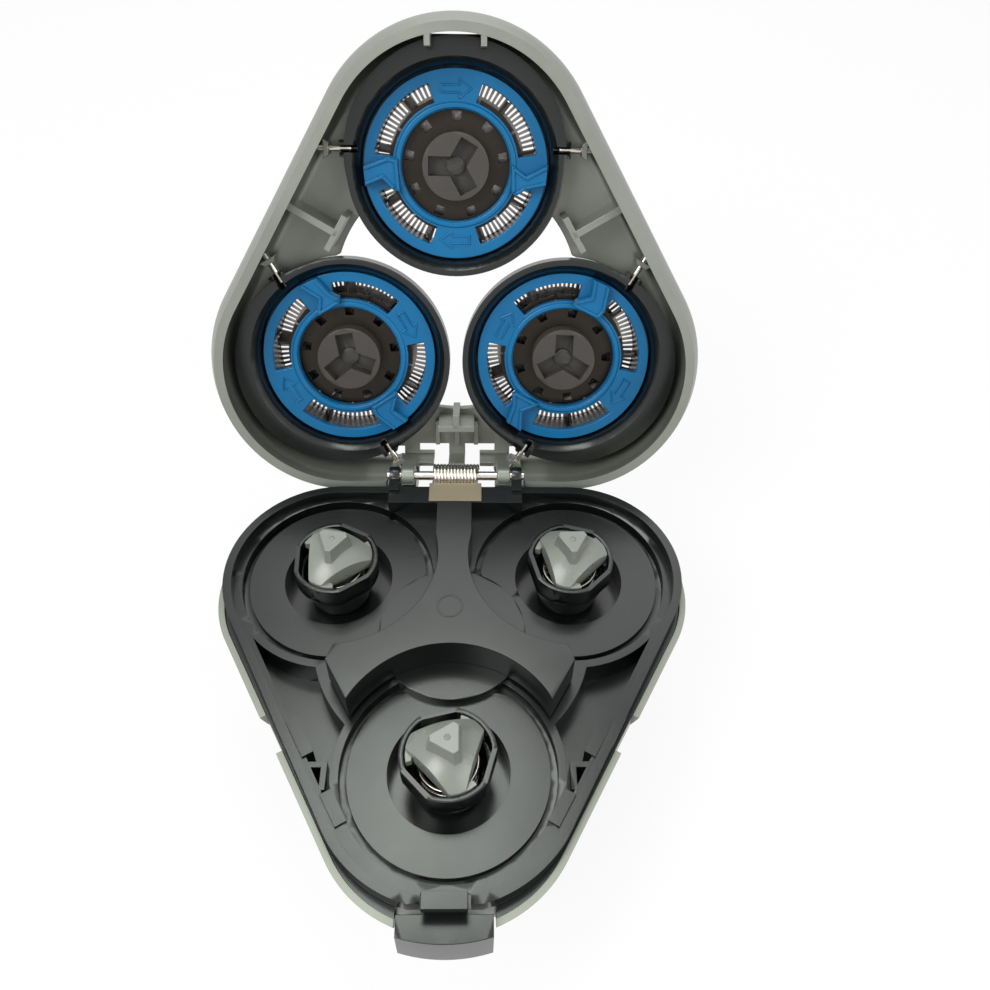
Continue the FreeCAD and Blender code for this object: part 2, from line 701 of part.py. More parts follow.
def gear_cover():
    """Raised Y-shaped cover between the three discs."""
    low = FLOOR + size("boss_rise")
    high = FLOOR + size("cover_rise")
    places = coupling_places()
    core = common(
        three_flats(size("cover_reach"), low, high, 180.0),
        cylinder(REACH + 3.0, low - 1.0, high + 1.0),
        box((-FAR, FAR), (-FAR, REACH * 0.5), (low - 1.0, high + 1.0)),
    )
    half = size("cover_arm") / 2.0
    arm = box((-half, half), (0.0, size("cover_back")), (low, high))
    tools = [cylinder(size("cover_side"), low - 1.0, high + 1.0, x, y) for x, y in places]
    for side in (-1.0, 1.0):
        corner = [(side * x, y) for x, y in ((12.7, -3.6), (13.55, -6.0), (17.0, -6.4), (17.0, -3.0))]
        tools.append(extruded(corner, low - 1.0, high + 1.0))
    piece("gear_cover", cut(fused(core, arm), *tools))


def gear_plate():
    """Bearing plate under the gears."""
    plate = prism(base_corners(-size("flange_width") - size("ledge") - 0.1), PLATE_LOW, PLATE_TOP)
    holes = [
        cylinder(size("spindle_radius") * 0.6 + size("run_gap"), PLATE_LOW - 1.0, PLATE_TOP + 1.0, x, y)
        for x, y in coupling_places()
    ]
    holes.append(cylinder(size("drive_hub") + size("run_gap"), PLATE_LOW - 1.0, PLATE_TOP + 1.0))
    piece("gear_plate", cut(plate, *holes, *screw_holes()))


def screw_places():
    """Screws between the gears, one in each side."""
    places = []
    for angle in (90.0, 210.0, 330.0):
        out = math.radians(angle)
        across = 0.0 if abs(math.cos(out)) < 1e-9 else size("screw_reach") * math.cos(out)
        places.append((across, size("screw_reach") * math.sin(out)))
    return places


def screw_holes():
    """Holes for the plate's screws, through the plate and into the shell."""
    low = PLATE_LOW - size("screw_grip")
    return [cylinder(size("screw_radius"), low, PLATE_TOP + 1.0, x, y) for x, y in screw_places()]


def case_screws():
    """Screws that hold the gear plate down on the shell."""
    low = PLATE_LOW - size("screw_grip")
    screws = []
    for x, y in screw_places():
        screws.append(cylinder(size("screw_radius"), low, PLATE_TOP, x, y))
        screws.append(cylinder(size("screw_radius") * 2.0, PLATE_TOP, PLATE_TOP + 0.8, x, y))
    piece("case_screws", fused(*screws))


def involute_outline(teeth, module, play, phase):
    """Points round a gear with involute flanks of 20 degrees, first tooth centred on phase."""
    pitch = teeth * module / 2.0
    base = pitch * math.cos(math.radians(20.0))
    tip = pitch + 0.9 * module
    root = pitch - 1.2 * module
    angle_20 = math.radians(20.0)
    half = math.pi / (2.0 * teeth) - play / (2.0 * pitch) + math.tan(angle_20) - angle_20
    start = max(root, base)
    flank = []
    for step in range(4):
        radius = start + (tip - start) * step / 3.0
        opening = math.sqrt(max((radius / base) ** 2 - 1.0, 0.0))
        flank.append((radius, half - (opening - math.atan(opening))))
    points = []
    for tooth in range(teeth):
        centre = phase + 2.0 * math.pi * tooth / teeth
        side = [(root, flank[0][1] + 0.02)] + flank
        for radius, away in side:
            points.append((radius * math.cos(centre - away), radius * math.sin(centre - away)))
        for radius, away in reversed(side):
            points.append((radius * math.cos(centre + away), radius * math.sin(centre + away)))
    return points


def gear_shape(teeth, bore, low, high):
    """Spur gear with a round bore, a tooth centred on the X axis."""
    module = 2.0 * number(REACH) / (number(size("gear_teeth")) + number(size("pinion_teeth")))
    corners = involute_outline(int(teeth), module, number(size("backlash")), 0.0)
    points = [FreeCAD.Vector(x, y, number(low)) for x, y in corners]
    face = Part.Face(Part.makePolygon(points + points[:1]))
    height = number(size_of(high) - low)
    blank = face.extrude(FreeCAD.Vector(0, 0, height))
    hole = Part.makeCylinder(number(bore), height + 2.0, FreeCAD.Vector(0, 0, number(low) - 1.0))
    return blank.cut(hole)


def drive_gear():
    """Centre gear with a hub whose socket takes the handle's drive shaft."""
    teeth = number(size("gear_teeth"))
    low = number(PLATE_LOW - size("socket_depth"))
    gear = gear_shape(teeth, size("drive_hub") - 0.6, GEAR_LOW, GEAR_TOP)
    foot = FreeCAD.Vector(0, 0, low)
    hub = Part.makeCylinder(number(size("drive_hub")), number(GEAR_TOP) - low, foot)
    depth = number(size("socket_depth"))
    radius = number(size("socket_radius"))
    flat = number(size("socket_flat"))
    socket = Part.makeCylinder(radius, depth + 1.0, FreeCAD.Vector(0, 0, low - 1.0))
    stop = Part.makeBox(2 * radius, radius, depth + 2.0, FreeCAD.Vector(-radius, flat, low - 1.5))
    shape = gear.fuse(hub).cut(socket.cut(stop)).removeSplitter()
    shape.rotate(FreeCAD.Vector(), FreeCAD.Vector(0, 0, 1), 30.0)
    repeated("drive_gear", shape, FreeCAD.Placement())


def spindle_gears():
    """Gears on the shafts of the three cups."""
    shape = gear_shape(number(size("pinion_teeth")), size("spindle_radius"), GEAR_LOW, GEAR_TOP)
    for index, angle, turn in HEADS:
        repeated("spindle_gear_%d" % index, shape, head_place(angle, 270.0 - angle))


def cup_form(outer, flat, low, high):
    """Round form with three flats."""
    return common(cylinder(outer, low, high), three_flats(flat, low, high, 180.0))


def drive_cups():
    """Black cups with three flats and a narrow foot, each on a shaft through the tray."""
    wall = size("cup_wall")
    middle = FLOOR + size("cup_rise") * 0.4
    rim = FLOOR + size("cup_rise")
    foot = FLOOR - size("pit_depth") + 0.3
    inside = foot + 0.7
    outer = fused(
        cup_form(size("cup_radius"), size("cup_flat"), middle, rim),
        cone(size("cup_foot"), size("cup_flat") - 0.06, foot, middle),
    )
    hollow = fused(
        cup_form(size("cup_radius") - wall, size("cup_flat") - wall, middle - 0.01, rim + 1.0),
        cone(size("cup_foot") - wall, size("cup_flat") - wall - 0.12, inside, middle),
    )
    windows = []
    for turn in (30.0, 150.0, 270.0):
        window = box((-0.75, 0.75), (-6.0, -2.5), (middle + 0.1, middle + 0.8))
        windows.append(turned_copy(window, turn + 90.0))
    shaft = cylinder(size("spindle_radius"), GEAR_LOW, foot)
    pivot = cylinder(size("spindle_radius") * 0.6, PLATE_LOW, GEAR_LOW)
    cup = fused(cut(outer, hollow, *windows), shaft, pivot)
    shape = local_shape(cup)
    for index, angle, turn in HEADS:
        repeated("drive_cup_%d" % index, shape, head_place(angle, coupling_turn(angle, turn)))


def coupling_turn(angle, turn):
    """Turn of a coupling drawn with a round corner of its cup towards 30 degrees."""
    return 270.0 - angle + turn - number(size("nose_turn")) - 30.0


def coupling_tips():
    """Light sprung tips: a three-sided skirt, a low mound, a blunt nose and a stem below."""
    top = FLOOR + size("tip_rise")
    low = top - size("tip_plate")
    room = size("cup_radius") - size("cup_wall") - size("tip_gap")
    plate = common(cylinder(room, low, top), three_flats(size("tip_side"), low, top, 180.0))
    barbs = []
    for turn in (30.0, 150.0, 270.0):
        barb = box((-1.5, 1.5), (-room, -room + 0.75), (low, low + 0.7))
        barbs.append(turned_copy(barb, turn + 90.0))
    corners = common(fused(*barbs), cylinder(room, low - 1.0, top + 1.0))
    stem = cylinder(size("tip_stem"), low - 1.8, low)
    edge = math.degrees(math.acos(number(size("tip_side")) / number(room)))
    base = six_corners(room, 60.0 - edge, 0.0)
    turn = number(size("nose_turn"))
    waist = six_corners(size("nose_base"), 14.0, turn)
    end = six_corners(size("nose_top"), 14.0, turn)
    waist_level = top + size("mound_rise")
    mound = faceted(base, top, waist, waist_level)
    nose = faceted(waist, waist_level, end, top + size("nose_height"))
    dot = cylinder(0.35, top + size("nose_height") - 0.1, top + size("nose_height") + 0.12)
    tip = fused(plate, corners, stem, mound, nose, dot)
    shape = local_shape(tip)
    for index, angle, turn in HEADS:
        repeated("coupling_tip_%d" % index, shape, head_place(angle, coupling_turn(angle, turn)))


def six_corners(radius, spread, turn):
    """Corners of a blunt triangle, two at each of its three ends."""
    corners = []
    for middle in (30.0, 150.0, 270.0):
        for side in (-spread, spread):
            at = math.radians(middle + turn + side)
            corners.append((size_of(radius) * math.cos(at), size_of(radius) * math.sin(at)))
    return corners


def faceted(low_corners, low, high_corners, high):
    """Body between two polygons of as many corners."""
    thing = doc.addObject("Part::Loft", "faceted")
    thing.Sections = [polygon(outline_at(low), low_corners), polygon(outline_at(high), high_corners)]
    thing.Solid = True
    thing.Ruled = True
    return thing


def coil_shape(radius, wire, turns, length):
    """Wire wound on the Z axis in short straight steps, from level 0 to its length."""
    half = wire / 2.0
    pitch = (length - wire) / turns
    up = FreeCAD.Vector(0, 0, 1)
    loops = []
    for step in range(int(turns * COIL_STEPS) + 1):
        at = 2.0 * math.pi * step / COIL_STEPS
        out = FreeCAD.Vector(math.cos(at), math.sin(at), 0)
        centre = out * radius + up * (half + pitch * step / COIL_STEPS)
        loops.append([centre + out * half, centre + up * half, centre - out * half, centre - up * half])
    faces = [flat_face(loops[0]), flat_face(loops[-1])]
    for before, after in zip(loops, loops[1:]):
        for i in range(4):
            j = (i + 1) % 4
            faces.append(flat_face((before[i], before[j], after[j])))
            faces.append(flat_face((before[i], after[j], after[i])))
    skin = Part.Shell(faces)
    skin.sewShape()
    solid = Part.Solid(skin)
    if solid.Volume < 0:
        solid.reverse()
    return solid


def flat_face(corners):
    """Flat face through corners."""
    return Part.Face(Part.makePolygon(list(corners) + [corners[0]]))


def tip_springs():
    """Springs between each cup's floor and its tip."""
    low = number(FLOOR - size("pit_depth") + 1.0)
    high = number(FLOOR + size("tip_rise") - size("tip_plate"))
    values = [number(size(name)) for name in ("spring_radius", "spring_wire", "spring_turns")]
    shape = coil_shape(*values, high - low)
    shape.translate(FreeCAD.Vector(0, 0, low))
    for index, angle, turn in HEADS:
        repeated("tip_spring_%d" % index, shape, head_place(angle, coupling_turn(angle, turn)))


def button_parts():
    """Release button with the latch hook, and the spring behind it."""
    half = size("button_width") / 2.0
    face = REACH + size("button_front")
    back = -(face - size("button_thick"))
    low, high = TRAY_UNDER + 0.9, FLOOR + size("button_rise")
    front = cylinder(size("button_front"), low, high, 0.0, -REACH)
    tab = common(front, box((-half, half), (-(face + 1.0), back), (low, high)))
    hook = size("hook_width") / 2.0
    nose_out = -(REACH + size("lid_rim") - size("lid_wall") - size("latch_gap"))
    hook_back = -(REACH + size("hook_back"))
    top = HINGE_Z + size("hook_rise")
    stem = box((-hook, hook), (nose_out + size("hook_nose"), hook_back), (BAND + 0.1, top))
    foot = box((-hook, hook), (back - 0.5, hook_back), (BAND + 0.1, high))
    nose = box((-hook, hook), (nose_out, hook_back), (top - size("nose_thick"), top))
    piece("release_button", fused(tab, foot, stem, nose))
    start = number(back)
    length = number(-(REACH + size("tray_corner") - 2.0)) - start
    spring = coil_shape(0.9, 0.25, 3.0, length)
    spring.rotate(FreeCAD.Vector(), FreeCAD.Vector(1, 0, 0), -90.0)
    spring.translate(FreeCAD.Vector(0, start, number(FLOOR) - 2.2))
    repeated("button_spring", spring, FreeCAD.Placement())


def hinge_parts():
    """Hinge pin, torsion spring and the sheet clip that holds its leg."""
    half = size("block_width") / 2.0
    piece("hinge_pin", bar(size("pin_radius"), -half - 0.3, half + 0.3, HINGE_Y, HINGE_Z))
    length = number(size("coil_length"))
    values = [number(size(name)) for name in ("coil_radius", "coil_wire", "coil_turns")]
    coil = coil_shape(*values, length)
    coil.rotate(FreeCAD.Vector(), FreeCAD.Vector(0, 1, 0), 90.0)
    coil.translate(FreeCAD.Vector(-length / 2.0, number(HINGE_Y), number(HINGE_Z)))
    repeated("hinge_spring", coil, FreeCAD.Placement())
    wide = size("clip_width") / 2.0
    sheet_thick = size("clip_sheet")
    back = size("block_back")
    top = box((-wide, wide), (size("block_front"), back), (HINGE_Z, HINGE_Z + sheet_thick))
    drop = box((-wide, wide), (back, back + sheet_thick), (HINGE_Z - 2.0, HINGE_Z + sheet_thick))
    piece("spring_clip", fused(top, drop))


def lid_frame():
    """Pewter lid: a swelling wall, three joined openings, wedges with ribs and hinge knuckles."""
    low = TRAY_RIM + size("lid_gap")
    rise = size("lid_height")
    top = HINGE_Z + rise
    under = top - size("lid_land")
    wall = size("lid_wall")
    rim, bulge, edge = size("lid_rim"), size("lid_bulge"), size("lid_top")
    outer = shell_form(
        (low, even_corners(REACH, rim)),
        (HINGE_Z + rise * 0.25, even_corners(REACH, bulge - 0.3)),
        (HINGE_Z + rise * 0.5, even_corners(REACH, bulge)),
        (HINGE_Z + rise * 0.8, even_corners(REACH, bulge - 0.7)),
        (top, even_corners(REACH, edge)),
    )
    inner = shell_form(
        (low - 0.01, even_corners(REACH, rim - wall)),
        (HINGE_Z + rise * 0.25, even_corners(REACH, bulge - 0.3 - wall)),
        (HINGE_Z + rise * 0.5, even_corners(REACH, bulge - wall)),
        (under, even_corners(REACH, edge - 0.3)),
    )
    openings = [cylinder(OPENING, under - 1.0, top + 1.0, x, y) for x, y in coupling_places()]
    middle = cylinder(size("middle_opening"), under - 1.0, top + 1.0)
    gaps = [hinge_room(), lid_window(top)] + latch_slots(top) + rear_slots(under, top)
    shell = cut(outer, inner, middle, *gaps, *openings)
    parts = [shell]
    parts.extend(wedge_ribs(under))
    parts.extend(latch_ribs())
    parts.extend(pin_bosses())
    parts.extend(knuckles())
    bores = bar(size("pin_radius") + size("run_gap"), -12.0, 12.0, HINGE_Y, HINGE_Z)
    body = cut(fused(*parts), bores, pivot_holes())
    piece("lid_frame", body, open_lid())


def hinge_room():
    """Hollow along the hinge line for the base's ears and block."""
    half = size("block_width") / 2.0 + 0.5
    return bar(size("ear_radius") + 0.9, -half, half, HINGE_Y, HINGE_Z)


def lid_window(top):
    """Gap in the lid's back for the spring."""
    inner = knuckle_spans()[1][0]
    return box((-inner, inner), (size("block_back") + 0.4, HINGE_Y + 10.0), (TRAY_RIM - 1.0, top + 1.0))


def latch_slots(top):
    """Slot down through the lid's front shoulder, open to the inside where the nose enters."""
    half = size("latch_width") / 2.0
    front = -(REACH + size("lid_rim") - size("latch_wall"))
    low = HINGE_Z + size("latch_low")
    shaft = box((-half, half), (front, front + 0.75), (low, top + 1.0))
    mouth = box((-half, half), (front, front + 3.0), (low, low + 2.0))
    return [shaft, mouth]


def latch_ribs():
    """Two short ribs on the lid's front wall beside the latch."""
    outer = -(REACH + size("lid_rim") - size("lid_wall") + 0.2)
    low, high = TRAY_RIM + size("lid_gap"), HINGE_Z + 3.3
    return [box((x - 0.35, x + 0.35), (outer, outer + 1.7), (low, high)) for x in (-3.0, 3.35)]


def rear_slots(under, top):
    """Slots in the lid's top beside the hinge."""
    slots = []
    for side in (-1.0, 1.0):
        inner, outer = sorted((side * 7.2, side * 12.5))
        back = size("block_back")
        slots.append(box((inner, outer), (back + 0.8, HINGE_Y + 0.6), (under - 1.0, top + 1.0)))
    return slots


def wedge_ribs(under):
    """T-shaped ribs on the wedges between the heads."""
    low = HINGE_Z + 2.6
    high = under + 0.3
    inner = size("middle_opening") + 1.0
    outer = REACH * 0.5 + size("lid_rim") - 0.3
    half = size("rib_width") / 2.0
    ribs = []
    for angle in (120.0, -120.0):
        long_rib = box((-half, half), (inner, outer), (low, high))
        cross = box((-2.3, 2.3), (inner - 0.3, inner + 0.6), (low, high))
        ribs.append(turned_copy(long_rib, angle))
        ribs.append(turned_copy(cross, angle))
    ribs.append(box((-half, half), (size("middle_opening") - 0.9, inner), (low, high)))
    ribs.append(box((-2.6, 2.6), (inner - 0.3, inner + 0.6), (low, high)))
    return ribs


def pin_bosses():
    """Small blocks inside the lid's wall that hold the pivot pins."""
    bosses = []
    near, far = number(RING_OUT) + 2.2, number(RING_OUT) + 4.0
    y = -size("pivot_offset")
    for index, angle, turn in HEADS:
        for span in ((-far, -near), (near, far)):
            boss = box(span, (y - 0.8, y + 0.8), (PIVOT_Z - 0.8, PIVOT_Z + 2.2))
            bosses.append(at_head(boss, angle))
    return bosses


def at_head(thing, angle):
    """The same shape at the place of a head."""
    holder = doc.addObject("Part::Compound", "at_head")
    holder.Links = [thing]
    holder.Placement = head_place(angle)
    return holder


def pivot_holes():
    """Holes for the pivot pins of all three heads."""
    reach = RING_OUT + 3.5
    holes = []
    for index, angle, turn in HEADS:
        hole = bar(size("pivot_pin"), -reach, reach, -size("pivot_offset"), PIVOT_Z)
        holes.append(at_head(hole, angle))
    return fused(*holes)


def knuckles():
    """Hinge knuckles with the arms that join them to the lid's back wall."""
    parts = []
    for start, end in knuckle_spans():
        parts.append(bar(size("ear_radius"), start, end, HINGE_Y, HINGE_Z))
        arm = box((start, end), (HINGE_Y - 0.9, HINGE_Y + 2.2), (HINGE_Z + 0.2, HINGE_Z + 3.2))
        parts.append(arm)
    return parts


def pivot_rings():
    """Black rings that tilt in the lid on two pins and hold a guard each."""
    low, top = HINGE_Z + size("ring_low"), HINGE_Z + size("ring_top")
    shoulder = HINGE_Z + size("ring_shoulder")
    seat = GUARD_SEAT + size("guard_sheet")
    y = -size("pivot_offset")
    solids = [
        cylinder(RING_OUT, low, shoulder),
        cylinder(RING_OUT + 0.2, low, shoulder, 0.0, -size("ring_shift")),
        cylinder(RING_NECK, low, top),
    ]
    reach = RING_OUT + 0.7
    for span in ((-reach, -RING_NECK), (RING_NECK, reach)):
        solids.append(box(span, (y - 1.0, y + 1.0), (PIVOT_Z - 1.2, PIVOT_Z + 0.8)))
    slot = size("pivot_pin") + size("run_gap")
    tools = [
        cylinder(CAVITY, low - 1.0, seat),
        cylinder(GUARD_WALL + 0.2, seat - 0.1, top + 1.0),
        cone(CAVITY + 1.0, CAVITY, low, low + 1.3),
    ]
    for start, end in ((-reach - 1.0, 0.6 - RING_NECK), (RING_NECK - 0.6, reach + 1.0)):
        tools.append(bar(slot, start, end, y, PIVOT_Z))
        tools.append(box((start, end), (y - slot, y + slot), (low - 1.0, PIVOT_Z)))
    shape = local_shape(cut(fused(*solids), *tools))
    for index, angle, turn in HEADS:
        repeated("pivot_ring_%d" % index, shape, open_lid().multiply(head_place(angle)))


def pivot_pins():
    """The two thin pins of each head, held in the lid's bosses."""
    y = -size("pivot_offset")
    near, far = RING_NECK + 0.2, RING_OUT + 3.5
    pins = [bar(size("pivot_pin"), -far, -near, y, PIVOT_Z), bar(size("pivot_pin"), near, far, y, PIVOT_Z)]
    pair = doc.addObject("Part::Compound", "pins")
    pair.Links = pins
    shape = local_shape(pair)
    for index, angle, turn in HEADS:
        repeated("pivot_pins_%d" % index, shape, open_lid().multiply(head_place(angle)))


def retaining_rings():
    """Blue rings with four windows and two chevron grips."""
    low = HINGE_Z + size("retainer_low")
    top = GUARD_SEAT
    outer, inner = size("retainer_radius"), size("retainer_hole")
    flat = ring(outer, inner, low, top)
    windows = []
    for middle in (45.0, 135.0, 225.0, 315.0):
        sector = cylinder(outer - size("window_rim"), low - 0.5, top + 0.5)
        sector.Angle = 60.0
        window = cut(sector, cylinder(inner + size("window_edge"), low - 1.0, top + 1.0))
        windows.append(turned_copy(window, middle - 30.0))
    grip_low = low - size("grip_rise")
    chevron = [
        (-outer - 0.1, -0.9), (-inner - 1.6, -2.1), (-inner - 0.2, -1.3),
        (-inner - 0.2, 1.2), (-inner - 1.9, 0.5), (-outer - 0.1, 2.0),
    ]
    limit = ring(outer, inner, grip_low, low + 0.3)
    grip = common(extruded(chevron, grip_low, low + 0.2), limit)
    grips = [grip, turned_copy(grip, 180.0)]
    shape = local_shape(fused(cut(flat, *windows), *grips))
    for index, angle, turn in HEADS:
        repeated("retaining_ring_%d" % index, shape, open_lid().multiply(head_place(angle)))


def guards():
    """Slotted steel caps, each with a bearing for its cutter."""
    sheet_thick = size("guard_sheet")
    top = HINGE_Z + size("guard_top")
    low = GUARD_SEAT
    inner = GUARD_WALL - sheet_thick
    dish = size("track_in") - 0.7
    drop = size("dish_drop")
    hub = size("hub_pin") + size("run_gap")
    body = turned("guard_blank", [
        (GUARD_FLANGE, low), (GUARD_FLANGE, low + sheet_thick),
        (GUARD_WALL, low + sheet_thick), (GUARD_WALL, top),
        (dish + 0.3, top), (dish, top - drop), (hub, top - drop),
        (hub, top - drop - 1.4), (hub + 0.7, top - drop - 1.4), (hub + 0.7, top - drop - sheet_thick),
        (dish + 0.1, top - drop - sheet_thick), (dish + 0.4, top - sheet_thick),
        (inner, top - sheet_thick), (inner, low),
    ])
    sketch = body.newObject("Sketcher::SketchObject", "slot_outline")
    plane = [f for f in body.Origin.OriginFeatures if f.Role == "XY_Plane"][0]
    sketch.AttachmentSupport = [(plane, "")]
    sketch.MapMode = "FlatFace"
    sketch.setExpression("AttachmentOffset.Base.z", words(top + 1.0))
    half = size("slot_width") / 2.0
    start, end = size("track_in"), GUARD_WALL - size("blade_inset")
    polygon(sketch, [(start, -half), (end, -half), (end, half), (start, half)])
    slot = body.newObject("PartDesign::Pocket", "slot")
    slot.Profile = sketch
    slot.Length = 1.6
    slot.Reversed = False
    doc.recompute()
    pattern = body.newObject("PartDesign::PolarPattern", "slots")
    pattern.Originals = [slot]
    pattern.Axis = (sketch, ["N_Axis"])
    pattern.Angle = 360.0
    pattern.setExpression("Occurrences", size("slot_count").text)
    body.Tip = pattern
    shape = local_shape(body)
    for index, angle, turn in HEADS:
        repeated("guard_%d" % index, shape, open_lid().multiply(head_place(angle)))


def socket_turn(angle, turn):
    """Turn of a cutter hub drawn with an arm of its socket towards -Y."""
    return turn - (angle - 270.0) + 90.0


def cutter_hubs():
    """Hubs with a three-armed socket below and a running pin above."""
    low = HINGE_Z + size("hub_low")
    radius, pin = size("hub_radius"), size("hub_pin")
    seat = BLADE_SEAT + size("blade_sheet")
    top = seat + 0.6
    pin_top = HINGE_Z + size("guard_top") - 0.6
    body = turned("cutter_hub_blank", [
        (0.0, low), (radius, low), (radius, seat), (radius + 0.9, seat),
        (radius + 0.9, top), (pin, top), (pin, pin_top), (0.0, pin_top),
    ])
    half = size("socket_arm") / 2.0
    deep = low + size("socket_deep")
    arms = []
    for turn in (0.0, 120.0, 240.0):
        arm = box((-half, half), (-size("socket_reach"), 0.0), (low - 1.0, deep))
        arms.append(turned_copy(arm, turn))
    pad = cylinder(1.1, deep - 0.45, deep + 0.1)
    shape = local_shape(fused(cut(body, *arms), pad))
    for index, angle, turn in HEADS:
        place = open_lid().multiply(head_place(angle, socket_turn(angle, turn)))
        repeated("cutter_hub_%d" % index, shape, place)


def blade_rings():
    """Stamped rings with a windowed flange and raised blades that run under the guard."""
    seat = BLADE_SEAT
    sheet_thick = size("blade_sheet")
    top = HINGE_Z + size("guard_top") - size("guard_sheet") - size("blade_gap")
    count = int(number(size("blade_count")))
    outer = size("blade_flange")
    flange = ring(outer, size("hub_radius"), seat, seat + sheet_thick)
    holes = []
    blades = []
    for i in range(count):
        turn = 360.0 * i / count
        hole = box((-0.58, 0.58), (-6.4, -5.3), (seat - 1.0, seat + 1.0))
        slit = box((-0.18, 0.18), (-outer - 1.0, -6.6), (seat - 1.0, seat + 1.0))
        holes.append(turned_copy(hole, turn))
        holes.append(turned_copy(slit, turn))
        blade = box((0.9, 1.3), (size("blade_inset") - GUARD_WALL, 0.8 - outer), (seat, top))
        blades.append(turned_copy(blade, turn))
    shape = local_shape(fused(cut(flange, *holes), *blades))
    for index, angle, turn in HEADS:
        place = open_lid().multiply(head_place(angle, socket_turn(angle, turn)))
        repeated("blade_ring_%d" % index, shape, place)


def check_state():
    """Stops if a feature failed or a piece has no sound solid."""
    doc.recompute()
    faults = []
    for thing in doc.Objects:
        if "Invalid" in thing.State or "Error" in thing.State:
            faults.append("%s of %s" % (thing.Name, [parent.Label for parent in thing.InList]))
    for name, thing in PIECES:
        shape = thing.Shape
        if shape.isNull() or not shape.isValid() or shape.Volume <= 0:
            faults.append("%s has no sound shape" % name)
    if faults:
        raise RuntimeError("; ".join(faults))


def main():
    base_shell()
    base_tray()
    gear_cover()
    gear_plate()
    case_screws()
    drive_gear()
    spindle_gears()
    drive_cups()
    coupling_tips()
    tip_springs()
    button_parts()
    hinge_parts()
    lid_frame()
    pivot_rings()
    pivot_pins()
    retaining_rings()
    guards()
    cutter_hubs()
    blade_rings()
    check_state()
    os.makedirs("parts", exist_ok=True)
    for name, thing in PIECES:
        thing.Shape.exportStep("parts/%s.step" % name)
        print(name, len(thing.Shape.Solids), round(thing.Shape.Volume, 2))


main()
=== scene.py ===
# %% [markdown]
# A rotary shaver head that stands open: a pewter lid with three pivoting heads leans back from a
# black base with three driven couplings. The shapes that carry the motion come from the packed
# model, and this file gives them their looks, piece by piece, in metres and in the same frame.

# %% Load the frame
import bmesh
import bpy
import json
import math
import numpy as np
from mathutils import Matrix, Vector


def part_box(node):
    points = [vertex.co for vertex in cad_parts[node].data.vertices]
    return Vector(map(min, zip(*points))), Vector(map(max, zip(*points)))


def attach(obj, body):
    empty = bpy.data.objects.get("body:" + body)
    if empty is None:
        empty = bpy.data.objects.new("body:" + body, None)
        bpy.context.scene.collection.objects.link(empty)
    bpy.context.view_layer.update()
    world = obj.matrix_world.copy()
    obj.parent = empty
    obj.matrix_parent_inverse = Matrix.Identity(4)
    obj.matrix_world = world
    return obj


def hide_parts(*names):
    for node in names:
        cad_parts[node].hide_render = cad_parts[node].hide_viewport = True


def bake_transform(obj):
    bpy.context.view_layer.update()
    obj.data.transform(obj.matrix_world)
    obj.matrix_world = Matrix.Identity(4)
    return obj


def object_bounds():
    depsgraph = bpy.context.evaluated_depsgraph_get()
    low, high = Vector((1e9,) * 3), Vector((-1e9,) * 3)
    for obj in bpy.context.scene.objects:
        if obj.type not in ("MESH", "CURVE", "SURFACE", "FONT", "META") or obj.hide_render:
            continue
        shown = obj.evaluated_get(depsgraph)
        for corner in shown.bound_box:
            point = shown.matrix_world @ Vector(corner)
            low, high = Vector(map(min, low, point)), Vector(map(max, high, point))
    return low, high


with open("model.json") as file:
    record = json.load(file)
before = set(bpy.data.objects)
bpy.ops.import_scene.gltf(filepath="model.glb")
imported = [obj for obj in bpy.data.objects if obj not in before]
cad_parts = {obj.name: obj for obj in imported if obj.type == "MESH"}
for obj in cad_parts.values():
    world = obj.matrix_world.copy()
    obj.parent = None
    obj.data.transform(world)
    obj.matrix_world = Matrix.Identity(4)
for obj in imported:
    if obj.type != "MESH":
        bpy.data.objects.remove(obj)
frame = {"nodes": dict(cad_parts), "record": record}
cad_box = [list(corner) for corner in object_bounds()]
print("model, mm:", [round((b - a) * 1000, 1) for a, b in zip(*cad_box)])

# %% [markdown]
# The camera is found first, because every shape is judged through it. The picture was taken from
# in front and above, with a short telephoto look: the place, the turn and the lens here came from
# matching the round discs and rings of the real head. The picture's middle lies a little under
# the lens's axis, which the camera's shift gives.

# %% Camera
MM = 0.001
CAMERA_PLACE = (2.96, -57.54, 116.43)
PITCH, YAW, ROLL = 47.394, -1.469, 1.3543
LENS, SENSOR, SHIFT = 34.283, 36.0, -0.0556
NEAREST = 0.005

camera = bpy.data.objects.new("camera", bpy.data.cameras.new("camera"))
camera.data.lens, camera.data.sensor_width = LENS, SENSOR
camera.data.shift_y, camera.data.clip_start = SHIFT, NEAREST
look = Matrix.Rotation(math.radians(YAW), 4, "Z") @ Matrix.Rotation(math.radians(90 - PITCH), 4, "X")
look = look @ Matrix.Rotation(math.radians(ROLL), 4, "Z")
camera.matrix_world = Matrix.Translation(Vector(CAMERA_PLACE) * MM) @ look
bpy.context.scene.collection.objects.link(camera)
bpy.context.scene.camera = camera
print("camera looks down", PITCH, "degrees")

# %% [markdown]
# A material is a small graph of nodes. One helper adds a node with its settings and links, and one
# turns the hex colour that a designer would write, which is in sRGB, into Blender's linear light.

# %% Node helpers
def linear(hex_colour):
    """Linear RGB of an sRGB hex colour: each channel goes through the inverse of the sRGB curve."""
    channels = [int(hex_colour[i:i + 2], 16) / 255 for i in (1, 3, 5)]
    return [c / 12.92 if c <= 0.04045 else ((c + 0.055) / 1.055) ** 2.4 for c in channels]


